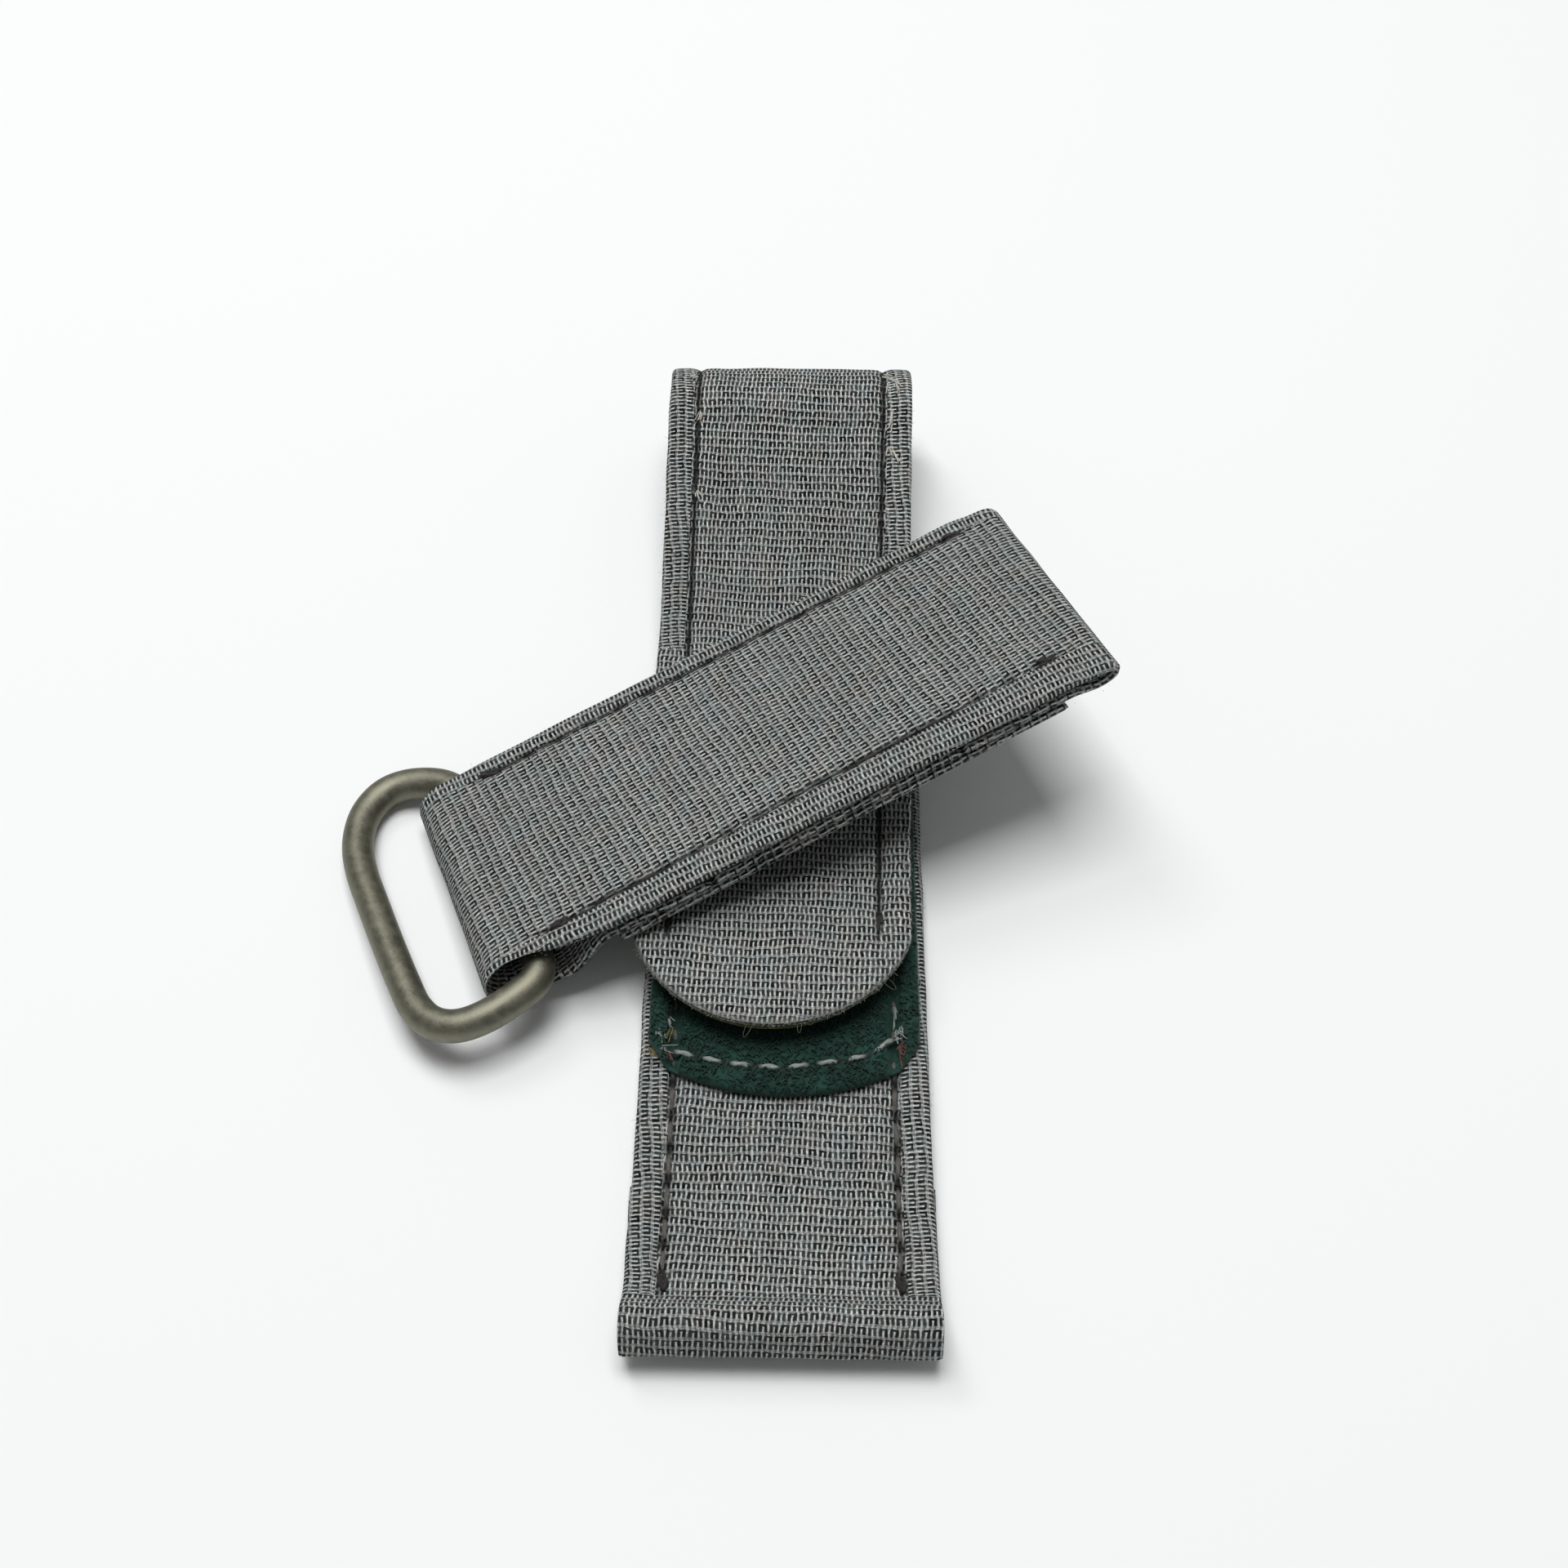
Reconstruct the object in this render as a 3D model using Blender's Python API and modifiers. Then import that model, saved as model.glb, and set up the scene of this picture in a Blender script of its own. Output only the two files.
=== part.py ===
"""A canvas watch strap in two parts, as it lies on a table, in metres with +Z up.

The long part runs along Y from its bar tunnel, bends back over itself in a round fold and ends in a
rounded tip. The short part lies across it with a loose wire ring in the pocket at its end.
"""

import math

import bmesh
import bpy
import numpy as np

# Cloth of the long part
strap_width = 0.022
ply = 0.00045
seat_gap = 0.0003
pile_height = 0.0007
hook_height = 0.0004

# Run of the long part, seen from the side
lug_end_y = -0.0522
fold_centre_y = 0.0363
fold_radius = 0.0061
curl_length = 0.013
curl_angle = math.radians(20)
ramp_angle = math.radians(21)
valley_radius = 0.018

# Plan of the flap, the hook panel and the pile panel
flap_reach = 0.0636
flap_tip_width = 0.0215
tip_depth = 0.0079
flap_lean = math.radians(1.0)
hook_length = 0.0205
hook_margin = 0.0004
pile_margin = 0.0008
pile_show = 0.0047
pile_far_y = 0.022
pile_end_depth = 0.0022
pile_corner_width = 0.0012
pile_corner_length = 0.0032

# Bar tunnels at both lug ends
bar_bore_radius = 0.0011
tunnel_length = 0.0047
tuck_length = 0.014
filler_stop = 0.010
step_down_length = 0.004

# Thread
thread_radius = 0.0002
stitch_pitch = 0.0027
seam_inset = 0.0026
channel_width = 0.0012
bridge_length = 0.0012
tack_length = 0.0014
short_seam_far_y = 0.0092
short_seam_near_y = -0.0085
short_seam_drift = 0.001
dive_share = 0.6
tack_share = 1.8

# Short part
short_length = 0.0541
short_width = 0.0218
short_ply = 0.00075
ring_end_near = 0.0096
ring_end_far = 0.0109
ring_end_taper = 0.012
short_yaw = math.radians(24.7)
short_crossing = 0.0158
crossing_from_tip = 0.0194
pocket_depth = 0.0056
pocket_slope = 0.004
turn_back = 0.018

# Wire ring
wire_radius = 0.0013
wire_play = 0.00025
bar_from_fold = 0.0032
ring_reach = 0.0102
ring_half_length = 0.0129
ring_shift = 0.0011
captive_corner_radius = 0.003
outer_corner_radius = 0.0047

# Counts that set how finely round stretches are drawn
arc_steps = 10
fold_steps = 28
run_steps = 12
ring_corner_steps = 8
wire_rings = 3
thread_rings = 1
halving_steps = 40

# Places that follow the flap's tip
flap_tip_y = fold_centre_y - flap_reach
pile_near_y = flap_tip_y - pile_show
crossing_y = flap_tip_y + crossing_from_tip

# Levels in the long part's stack, counted from its skin side
ply_rise = ply + seat_gap
lining_level = ply / 2
second_level = lining_level + ply_rise
top_level = second_level + ply_rise
stack_height = top_level + ply / 2
flap_stack = second_level + ply / 2
pile_top = stack_height + seat_gap + pile_height
hook_level = flap_stack + seat_gap + hook_height / 2

# Levels in the short part's stack, counted from its lining's under side
short_rise = short_ply + seat_gap
short_lining_level = short_ply / 2
short_middle_level = short_lining_level + short_rise
short_top_level = short_middle_level + short_rise
short_stack = short_top_level + short_ply / 2
bar_hole_radius = wire_radius + wire_play
pocket_radius = bar_hole_radius + short_ply / 2
pocket_outer = bar_hole_radius + short_ply
bar_level = short_top_level - pocket_radius


def lead(angle):
    """The unit direction at an angle, as (y, z)."""
    return np.array((math.cos(angle), math.sin(angle)))


def side(angle):
    """The unit direction a quarter turn to the left of it, which is the strap's inward side."""
    return np.array((-math.sin(angle), math.cos(angle)))


def ease(share):
    """A smooth step from 0 to 1."""
    share = min(max(share, 0), 1)
    return share * share * (3 - 2 * share)


def shares(count):
    return [step / count for step in range(count + 1)]


def arc_radius(half, depth):
    """Radius of the arc that bulges by a depth between two points a full width apart."""
    return (half * half + depth * depth) / (2 * depth)


def long_runs():
    """The skin line's runs as (length, turn): curl, level, fold, ramp, valley and tip."""
    curl_radius = curl_length / curl_angle
    level = fold_centre_y - lug_end_y - curl_radius * math.sin(curl_angle)
    low = pile_top + seat_gap + flap_stack
    valley_far = fold_radius * math.sin(ramp_angle)
    ramp_top = fold_radius * (1 + math.cos(ramp_angle))
    ramp_drop = ramp_top - low - valley_radius * (1 - math.cos(ramp_angle))
    ramp = ramp_drop / math.sin(ramp_angle)
    valley_reach = valley_far + ramp * math.cos(ramp_angle) + valley_radius * math.sin(ramp_angle)
    tip_run = flap_reach - valley_reach
    tip_rise = math.atan((hook_height + seat_gap) / (tip_run - hook_length))
    valley_turn = ramp_angle + tip_rise
    return [
        (curl_length, curl_angle),
        (level, 0),
        (fold_radius * (math.pi + ramp_angle), math.pi + ramp_angle),
        (ramp, 0),
        (valley_radius * valley_turn, -valley_turn),
        (tip_run, 0),
    ]


runs = long_runs()
fold_start = runs[0][0] + runs[1][0]
flap_start = fold_start + runs[2][0]
valley_end = flap_start + runs[3][0] + runs[4][0]
tip_end = valley_end + runs[5][0]
hook_start = tip_end - hook_length


def skin_at(travel):
    """Place and heading of the skin line at a distance from the lug end."""
    curl_rise = curl_length / curl_angle * (1 - math.cos(curl_angle))
    place = np.array((lug_end_y, curl_rise))
    heading = -curl_angle
    for length, turn in runs:
        part = min(travel, length)
        if turn:
            bend = turn * part / length
            place = place + length / turn * (side(heading) - side(heading + bend))
            heading += bend
        else:
            place = place + part * lead(heading)
        travel -= part
        if travel <= 0:
            break
    return place + max(travel, 0) * lead(heading), heading


def off_skin(travel, level):
    """The (y, z) point at a height inside the stack."""
    place, heading = skin_at(travel)
    return place + level * side(heading)


def face_level(travel):
    """The face canvas steps down one ply where the stiffener stops, ahead of the fold."""
    start = fold_start - filler_stop
    return top_level + (second_level - top_level) * ease((travel - start) / step_down_length)


def flap_height(y):
    """Height of the flap's upper face over a place on its tip run."""
    place, heading = skin_at(tip_end)
    return place[1] + (y - place[0]) * math.tan(heading)


def flap_centre(y):
    """The flap leans off the lower layer's middle line by a small angle."""
    return -(fold_centre_y - y) * math.tan(flap_lean)


def flap_half(y):
    share = (fold_centre_y - y) / flap_reach
    return (strap_width + (flap_tip_width - strap_width) * share) / 2


def tunnel_line(cloth, centre, tucked, top):
    """Cloth round a bar tunnel, as (distance in from the end, level), from its tucked end to the top."""
    radius = bar_bore_radius + cloth / 2
    nose = radius + cloth / 2
    line = [(tuck_length, tucked)]
    for share in shares(arc_steps):
        reach = tunnel_length + (nose - tunnel_length) * share
        line.append((reach, tucked + (centre - radius - tucked) * ease(share)))
    for share in shares(arc_steps)[1:]:
        angle = math.pi * share
        line.append((nose - radius * math.sin(angle), centre - radius * math.cos(angle)))
    for share in shares(arc_steps)[1:]:
        reach = nose + (tunnel_length - nose) * share
        line.append((reach, centre + radius + (top - centre - radius) * ease(share)))
    return line


def new_material(name, colour, roughness, metallic=0.0):
    material = bpy.data.materials.new(name)
    material.use_nodes = True
    shader = material.node_tree.nodes["Principled BSDF"]
    shader.inputs["Base Color"].default_value = (*colour, 1)
    shader.inputs["Roughness"].default_value = roughness
    shader.inputs["Metallic"].default_value = metallic
    material.diffuse_color = (*colour, 1)
    return material


def canvas(name):
    return new_material(name, (0.20, 0.20, 0.20), 0.9)


def thread(name):
    return new_material(name, (0.055, 0.05, 0.048), 0.7)


def place_object(name, data, collection, material=None, parent=None):
    made = bpy.data.objects.new(name, data)
    collection.objects.link(made)
    if material:
        data.materials.append(material)
    if parent:
        made.parent = parent
    return made


def empty_at(name, location, collection, parent=None):
    made = place_object(name, None, collection, parent=parent)
    made.location = location
    return made


def ribbon_mesh(name, line, width):
    """A strip of cloth: the side view drawn as a flat curve and extruded across the strap."""
    curve = bpy.data.curves.new(name, "CURVE")
    curve.dimensions = "2D"
    curve.fill_mode = "NONE"
    curve.extrude = width / 2
    spline = curve.splines.new("POLY")
    spline.points.add(len(line) - 1)
    for point, (across, up) in zip(spline.points, line):
        point.co = (across, up, 0, 1)
    holder = bpy.data.objects.new(name, curve)
    bpy.context.scene.collection.objects.link(holder)
    bpy.context.view_layer.update()
    graph = bpy.context.evaluated_depsgraph_get()
    mesh = bpy.data.meshes.new_from_object(holder.evaluated_get(graph))
    bpy.data.objects.remove(holder)
    bpy.data.curves.remove(curve)
    work = bmesh.new()
    work.from_mesh(mesh)
    bmesh.ops.remove_doubles(work, verts=work.verts, dist=ply / 100)
    bmesh.ops.recalc_face_normals(work, faces=work.faces)
    work.to_mesh(mesh)
    work.free()
    return mesh


def thicken(made, thickness):
    solid = made.modifiers.new("cloth", "SOLIDIFY")
    solid.thickness = thickness
    solid.offset = 0
    solid.use_even_offset = True
    return made


def turn_long(mesh):
    """Curve axes (y, z, across) become the long part's (x across, y, z)."""
    for vertex in mesh.vertices:
        along, up, across = vertex.co
        vertex.co = (across, along, up)
    return mesh


def turn_short(mesh):
    """Curve axes (x, z, across) become the short part's (x, y across, z)."""
    for vertex in mesh.vertices:
        along, up, across = vertex.co
        vertex.co = (along, -across, up)
    return mesh


def long_ply(name, line, collection, material, parent=None, width=strap_width):
    made = place_object(name, turn_long(ribbon_mesh(name, line, width)), collection, material, parent)
    if parent:
        made.location = -parent.location
    return thicken(made, ply)


def line_on_skin(start, stop, level, count):
    """Points of one ply between two distances, at a level that may follow the distance."""
    line = []
    for share in shares(count):
        travel = start + (stop - start) * share
        height = level(travel) if callable(level) else level
        line.append(off_skin(travel, height))
    return line


def outline_prism(name, outline, bottom, top, collection):
    """A flat outline extruded upwards, as a closed mesh object."""
    curve = bpy.data.curves.new(name, "CURVE")
    curve.dimensions = "2D"
    curve.fill_mode = "BOTH"
    curve.extrude = (top - bottom) / 2
    spline = curve.splines.new("POLY")
    spline.points.add(len(outline) - 1)
    for point, (x, y) in zip(spline.points, outline):
        point.co = (x, y, 0, 1)
    spline.use_cyclic_u = True
    holder = place_object(name, curve, collection)
    holder.location = (0, 0, (top + bottom) / 2)
    bpy.context.view_layer.update()
    graph = bpy.context.evaluated_depsgraph_get()
    mesh = bpy.data.meshes.new_from_object(holder.evaluated_get(graph))
    work = bmesh.new()
    work.from_mesh(mesh)
    bmesh.ops.remove_doubles(work, verts=work.verts, dist=ply / 100)
    bmesh.ops.recalc_face_normals(work, faces=work.faces)
    work.to_mesh(mesh)
    work.free()
    solid = bpy.data.objects.new(name, mesh)
    collection.objects.link(solid)
    solid.matrix_world = holder.matrix_world
    bpy.data.objects.remove(holder)
    solid.name = name
    return solid


def make_cutter(made):
    made.hide_render = True
    made.display_type = "WIRE"
    return made


def cut(made, cutter, operation):
    step = made.modifiers.new(cutter.name, "BOOLEAN")
    step.operation = operation
    step.object = cutter
    step.solver = "EXACT"
    return made


def flap_outline(margin, root):
    """Plan of the flap: straight sides, then the tip's arc through both corners."""
    corner_y = flap_tip_y + tip_depth
    half = flap_half(corner_y)
    radius = arc_radius(half, tip_depth)
    centre_x = flap_centre(corner_y)
    centre_y = flap_tip_y + radius
    inner = radius - margin
    inner_spread = math.asin((half - margin) / inner)
    outline = [(flap_centre(root) - flap_half(root) + margin, root)]
    for share in shares(run_steps):
        angle = -inner_spread + (2 * inner_spread) * share
        outline.append((centre_x + inner * math.sin(angle), centre_y - inner * math.cos(angle)))
    outline.append((flap_centre(root) + flap_half(root) - margin, root))
    return outline


def thread_object(name, points, collection, material, parent=None, offset=True):
    """One seam's thread as a wire that swells along each stitch and thickens at its tacks."""
    curve = bpy.data.curves.new(name, "CURVE")
    curve.dimensions = "3D"
    curve.bevel_depth = thread_radius
    curve.bevel_resolution = thread_rings
    curve.use_fill_caps = True
    spline = curve.splines.new("POLY")
    spline.points.add(len(points) - 1)
    for point, (spot, swell) in zip(spline.points, points):
        point.co = (*spot, 1)
        point.radius = swell
    made = place_object(name, curve, collection, material, parent)
    if parent and offset:
        made.location = -parent.location
    return made


def seam_points(start, stop, spot):
    """Thread between two distances: full in the middle of each stitch, drawn in where it dives."""
    count = max(round((stop - start) / stitch_pitch), 1)
    points = []
    for step in range(2 * count + 1):
        travel = start + (stop - start) * step / (2 * count)
        points.append((spot(travel), 1 if step % 2 else dive_share))
    return points


def tack_points(start, stop, spot):
    """Back-stitches laid over one another: the thread's thickened end."""
    middle = spot((start + stop) / 2, thread_radius * (tack_share - 1))
    return [(spot(start), dive_share), (middle, tack_share), (spot(stop), dive_share)]


def thread_level(surface):
    return surface + seat_gap + thread_radius


def over_bridge(travel):
    """How far a side seam climbs over the uncut bridge at the pile panel's far end."""
    y = off_skin(travel, top_level)[0]
    climb = ease((y - pile_far_y) / bridge_length + 2)
    fall = ease((pile_far_y - y) / bridge_length + 1.5)
    return (pile_height + seat_gap) * climb * fall


def lower_spot(direction):
    """Place of a thread on the lower layer, sunk to the cloth in the pile's sewn channels."""

    def spot(travel, lift=0.0):
        level = thread_level(face_level(travel) + ply / 2) + lift
        y, z = off_skin(travel, level + over_bridge(travel))
        return (direction * (strap_width / 2 - seam_inset), y, z)

    return spot


def upper_spot(direction):
    """Place of a thread on the flap's upper face, or outside the fold."""

    def spot(travel, lift=0.0):
        y, z = off_skin(travel, -thread_level(0) - lift)
        lead_y = min(y, fold_centre_y)
        x = flap_centre(lead_y) + direction * (flap_half(lead_y) - seam_inset)
        return (x, y, z)

    return spot


def build_lower(collection, cutters, hinge):
    """The lower layer: canvas, stiffener, lining, pile panel and its seams."""
    centre = (second_level + top_level) / 2
    tunnel = tunnel_line(ply, centre, second_level, top_level)
    line = [off_skin(reach, level) for reach, level in tunnel]
    line += line_on_skin(tunnel_length, curl_length, face_level, run_steps)[1:]
    down = fold_start - filler_stop
    line += line_on_skin(curl_length, down, face_level, 1)[1:]
    line += line_on_skin(down, down + step_down_length, face_level, arc_steps)[1:]
    line += line_on_skin(down + step_down_length, fold_start, face_level, 1)[1:]
    long_ply("lower_face_canvas", line, collection, canvas("lower_face_canvas"), hinge)

    stiff_start = tuck_length + seat_gap
    stiff = line_on_skin(stiff_start, down - seat_gap, second_level, run_steps)
    cloth = new_material("lower_stiffener", (0.75, 0.73, 0.68), 0.95)
    stiff_width = strap_width - 2 * seat_gap
    long_ply("lower_stiffener", stiff, collection, cloth, hinge, stiff_width)

    start = tunnel_length + seat_gap
    line = line_on_skin(start, curl_length, lining_level, run_steps)
    line += line_on_skin(curl_length, fold_start, lining_level, 1)[1:]
    long_ply("lower_lining_canvas", line, collection, canvas("lower_lining_canvas"), hinge)
    build_pile(collection, cutters, hinge)


def pile_outline():
    """Plan of the pile panel: straight sides, slanted corners and a shallow arc at the near end."""
    half = strap_width / 2 - pile_margin
    corner = half - pile_corner_width
    depth = pile_end_depth
    radius = arc_radius(corner, depth)
    spread = math.asin(corner / radius)
    arc_y = pile_near_y + depth
    outline = [(-half, pile_far_y), (-half, arc_y + pile_corner_length)]
    for share in shares(run_steps):
        angle = -spread + 2 * spread * share
        x = radius * math.sin(angle)
        outline.append((x, pile_near_y + radius - radius * math.cos(angle)))
    return outline + [(half, arc_y + pile_corner_length), (half, pile_far_y)]


def build_pile(collection, cutters, hinge):
    """The pile panel with the two channels that its side seams press into it."""
    bottom = stack_height + seat_gap
    top = bottom + pile_height
    panel = outline_prism("pile_panel", pile_outline(), bottom, top, collection)
    panel.data.materials.append(new_material("pile_panel", (0.012, 0.03, 0.026), 1.0))
    reach = pile_far_y - bridge_length
    ends = pile_near_y - pile_height
    for name in ("channel_left", "channel_right"):
        middle = seam_side(name) * (strap_width / 2 - seam_inset)
        low = middle - channel_width / 2
        high = middle + channel_width / 2
        outline = [(low, ends), (high, ends), (high, reach), (low, reach)]
        channel = outline_prism(name, outline, bottom - pile_height, top + pile_height, cutters)
        cut(panel, make_cutter(channel), "DIFFERENCE")
    panel.parent = hinge
    panel.location = np.array(panel.location) - np.array(hinge.location)


def seam_side(name):
    return -1 if name.endswith("left") else 1


def build_lower_seams(collection, hinge):
    """Side seams with a tack by the bar tunnel, and the curved seam across the pile's end."""
    start = tunnel_length + tack_length / 2
    first = start + tack_length
    for name in ("lower_seam_left", "lower_seam_right"):
        spot = lower_spot(seam_side(name))
        points = tack_points(start, first, spot) + seam_points(first, fold_start, spot)[1:]
        thread_object(name, points, collection, thread(name), hinge)

    height = thread_level(pile_top)
    half = strap_width / 2 - seam_inset - channel_width
    depth = pile_end_depth * (half / (strap_width / 2)) ** 2
    radius = arc_radius(half, depth)
    near = pile_near_y + seam_inset

    def spot(travel, lift=0.0):
        angle = travel / radius
        return (radius * math.sin(angle), near + radius - radius * math.cos(angle), height + lift)

    spread = radius * math.asin(half / radius)
    points = tack_points(-spread, tack_length - spread, spot)
    points += seam_points(tack_length - spread, spread - tack_length, spot)[1:]
    points += tack_points(spread - tack_length, spread, spot)[1:]
    pale = new_material("pile_end_seam", (0.32, 0.33, 0.32), 0.7)
    thread_object("pile_end_seam", points, collection, pale, hinge)


def build_fold(collection):
    """The bend that joins both layers: lining outside, face canvas inside, and the seams round it."""
    start = fold_start + seat_gap
    stop = flap_start - seat_gap
    outer = line_on_skin(start, stop, lining_level, fold_steps)
    long_ply("fold_lining_canvas", outer, collection, canvas("fold_lining_canvas"))
    inner = line_on_skin(start, stop, second_level, fold_steps)
    long_ply("fold_face_canvas", inner, collection, canvas("fold_face_canvas"))
    for name in ("fold_seam_left", "fold_seam_right"):
        points = seam_points(fold_start + fold_radius, stop, upper_spot(seam_side(name)))
        thread_object(name, points, collection, thread(name))


def trimmed_ply(name, start, level, thickness, margin, collection, cutters, material):
    """One ply of the flap, cut to the plan of its tip."""
    overrun = 2 * tip_depth
    line = line_on_skin(start, flap_start + runs[3][0], level, 1)
    if start > valley_end:
        line = line_on_skin(start, tip_end + overrun, level, 1)
    else:
        line += line_on_skin(flap_start + runs[3][0], valley_end, level, run_steps)[1:]
        line += line_on_skin(valley_end, tip_end + overrun, level, 1)[1:]
    mesh = turn_long(ribbon_mesh(name, line, 2 * strap_width))
    made = thicken(place_object(name, mesh, collection, material), thickness)
    root = fold_centre_y + fold_radius
    prism = outline_prism(name + "_plan", flap_outline(margin, root), -fold_radius, 4 * fold_radius, cutters)
    return cut(made, make_cutter(prism), "INTERSECT")


def build_flap(collection, cutters):
    """The flap: both canvas plies, the hook panel under its tip and its seams."""
    for name, level in (("flap_lining_canvas", lining_level), ("flap_face_canvas", second_level)):
        trimmed_ply(name, flap_start, level, ply, 0, collection, cutters, canvas(name))
    olive = new_material("hook_panel", (0.05, 0.055, 0.03), 0.8)
    panel = ("hook_panel", hook_start, hook_level, hook_height, hook_margin)
    trimmed_ply(*panel, collection, cutters, olive)
    stop = tip_end - tip_depth - 2 * tack_length
    for name in ("flap_seam_left", "flap_seam_right"):
        spot = upper_spot(seam_side(name))
        points = seam_points(flap_start + seat_gap, stop, spot)
        points += tack_points(stop, stop + tack_length, spot)[1:]
        thread_object(name, points, collection, thread(name))


def short_tilt():
    """Angle at which the short part leans on the flap's edge while its pocket rests on the table."""
    near = crossing_y - short_width / 2 / math.cos(short_yaw)
    edge = flap_height(near) + seat_gap
    run = (short_crossing - pocket_outer) * math.cos(short_yaw) + ring_end_far * math.sin(short_yaw)
    reach = math.hypot(run, bar_level)
    return math.asin((edge - pocket_outer) / reach) + math.atan2(bar_level, run)


def short_frame(collection):
    """The short part's own axes: x from the ring end to the lug end, z out of its face."""
    tilt = short_tilt()
    near = crossing_y - short_width / 2 / math.cos(short_yaw)
    edge_x = flap_centre(crossing_y) - flap_half(crossing_y)
    edge_z = flap_height(near) + seat_gap
    ahead = short_crossing * math.cos(short_yaw)
    aside = short_crossing * math.sin(short_yaw)
    spot = (edge_x - ahead * math.cos(tilt), crossing_y - aside, edge_z - ahead * math.sin(tilt))
    lean = empty_at("short_strap_lean", spot, collection)
    lean.rotation_euler = (0, -tilt, 0)
    frame = empty_at("short_strap_axes", (0, 0, 0), collection, lean)
    frame.rotation_euler = (0, 0, short_yaw)
    return frame


def edge_y(x, direction):
    """Half width of the short part: drawn in at the ring end, more on its near side."""
    full = short_width / 2
    end = ring_end_near if direction < 0 else ring_end_far
    return direction * (end + (full - end) * ease(x / ring_end_taper))


def short_ply_object(name, line, collection, frame, material, margin=0.0):
    mesh = turn_short(ribbon_mesh(name, line, short_width))
    for vertex in mesh.vertices:
        direction = 1 if vertex.co.y > 0 else -1
        vertex.co.y = edge_y(vertex.co.x, direction) - direction * margin
    made = place_object(name, mesh, collection, material, frame)
    return thicken(made, short_ply)


def pocket_line():
    """Cloth round the ring's pocket: along the top, round the end, below and back into the stack."""
    centre_x = pocket_outer
    line = [(short_length - tunnel_length, short_top_level)]
    for share in shares(run_steps)[1:]:
        far = short_length - tunnel_length
        line.append((far + (centre_x - far) * share, short_top_level))
    for share in shares(arc_steps)[1:]:
        angle = math.pi * share
        x = centre_x - pocket_radius * math.sin(angle)
        line.append((x, bar_level + pocket_radius * math.cos(angle)))
    low = bar_level - pocket_radius
    for share in shares(arc_steps):
        level = low + (short_middle_level - low) * ease(share)
        line.append((pocket_depth + pocket_slope * share, level))
    line.append((turn_back, short_middle_level))
    return line


def build_short(collection, frame):
    """The short part: one face canvas round both ends, filler and lining."""
    lug_centre = (short_middle_level + short_top_level) / 2 - short_ply / 2
    tunnel = tunnel_line(short_ply, lug_centre, short_middle_level, short_top_level)
    line = [(short_length - reach, level) for reach, level in tunnel] + pocket_line()[1:]
    cloth = canvas("short_face_canvas")
    short_ply_object("short_face_canvas", line, collection, frame, cloth)

    start = turn_back + seat_gap
    stop = short_length - tuck_length - seat_gap
    line = [(start + (stop - start) * share, short_middle_level) for share in shares(arc_steps)]
    cloth = new_material("short_filler", (0.7, 0.68, 0.62), 0.95)
    short_ply_object("short_filler", line, collection, frame, cloth, seat_gap)

    start = pocket_depth + pocket_slope + seat_gap
    stop = short_length - tunnel_length - seat_gap
    line = [(start + (stop - start) * share, short_lining_level) for share in shares(arc_steps)]
    cloth = canvas("short_lining_canvas")
    short_ply_object("short_lining_canvas", line, collection, frame, cloth)


def build_short_seams(collection, frame):
    """Both long seams of the short part, with a tack at each end; the near one drifts inwards."""
    start = pocket_depth
    stop = short_length - tunnel_length + tack_length / 2
    height = thread_level(short_stack)
    seams = (
        ("short_seam_near", short_seam_near_y, short_seam_drift),
        ("short_seam_far", short_seam_far_y, 0),
    )
    for name, across, drift in seams:

        def spot(travel, lift=0.0, across=across, drift=drift):
            return (travel, across + drift * travel / short_length, height + lift)

        points = tack_points(start, start + tack_length, spot)
        points += seam_points(start + tack_length, stop - tack_length, spot)[1:]
        points += tack_points(stop - tack_length, stop, spot)[1:]
        thread_object(name, points, collection, thread(name), frame, False)


def ring_outline():
    """Centre line of the wire: a rounded rectangle with tighter corners on its captive side."""
    corners = (
        (-captive_corner_radius, ring_half_length - captive_corner_radius, captive_corner_radius, 0),
        (outer_corner_radius - ring_reach, ring_half_length - outer_corner_radius, outer_corner_radius, 1),
        (outer_corner_radius - ring_reach, outer_corner_radius - ring_half_length, outer_corner_radius, 2),
        (-captive_corner_radius, captive_corner_radius - ring_half_length, captive_corner_radius, 3),
    )
    line = []
    for centre_x, centre_y, radius, quarter in corners:
        for share in shares(ring_corner_steps):
            angle = (quarter + share) * math.pi / 2
            line.append((centre_x + radius * math.cos(angle), centre_y + radius * math.sin(angle)))
    return line


def ring_lowest(turn):
    """Height of the ring's lowest point for a turn about its captive bar."""
    tilt = short_tilt()
    along = math.sin(tilt) * math.cos(short_yaw)
    across = -math.sin(tilt) * math.sin(short_yaw)
    up = math.cos(tilt)
    near = crossing_y - short_width / 2 / math.cos(short_yaw)
    bar_z = flap_height(near) + seat_gap + (bar_from_fold - short_crossing) * along + bar_level * up
    outward = along * math.cos(turn) - up * math.sin(turn)
    heights = [x * outward + (y + ring_shift) * across for x, y in ring_outline()]
    return bar_z + min(heights) - wire_radius


def ring_rest_turn():
    """Turn at which the ring's outer side comes down on the table, found by halving."""
    low, high = -math.pi / 4, math.pi / 4
    for _ in range(halving_steps):
        middle = (low + high) / 2
        if ring_lowest(middle) < 0:
            low = middle
        else:
            high = middle
    return high


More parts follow.
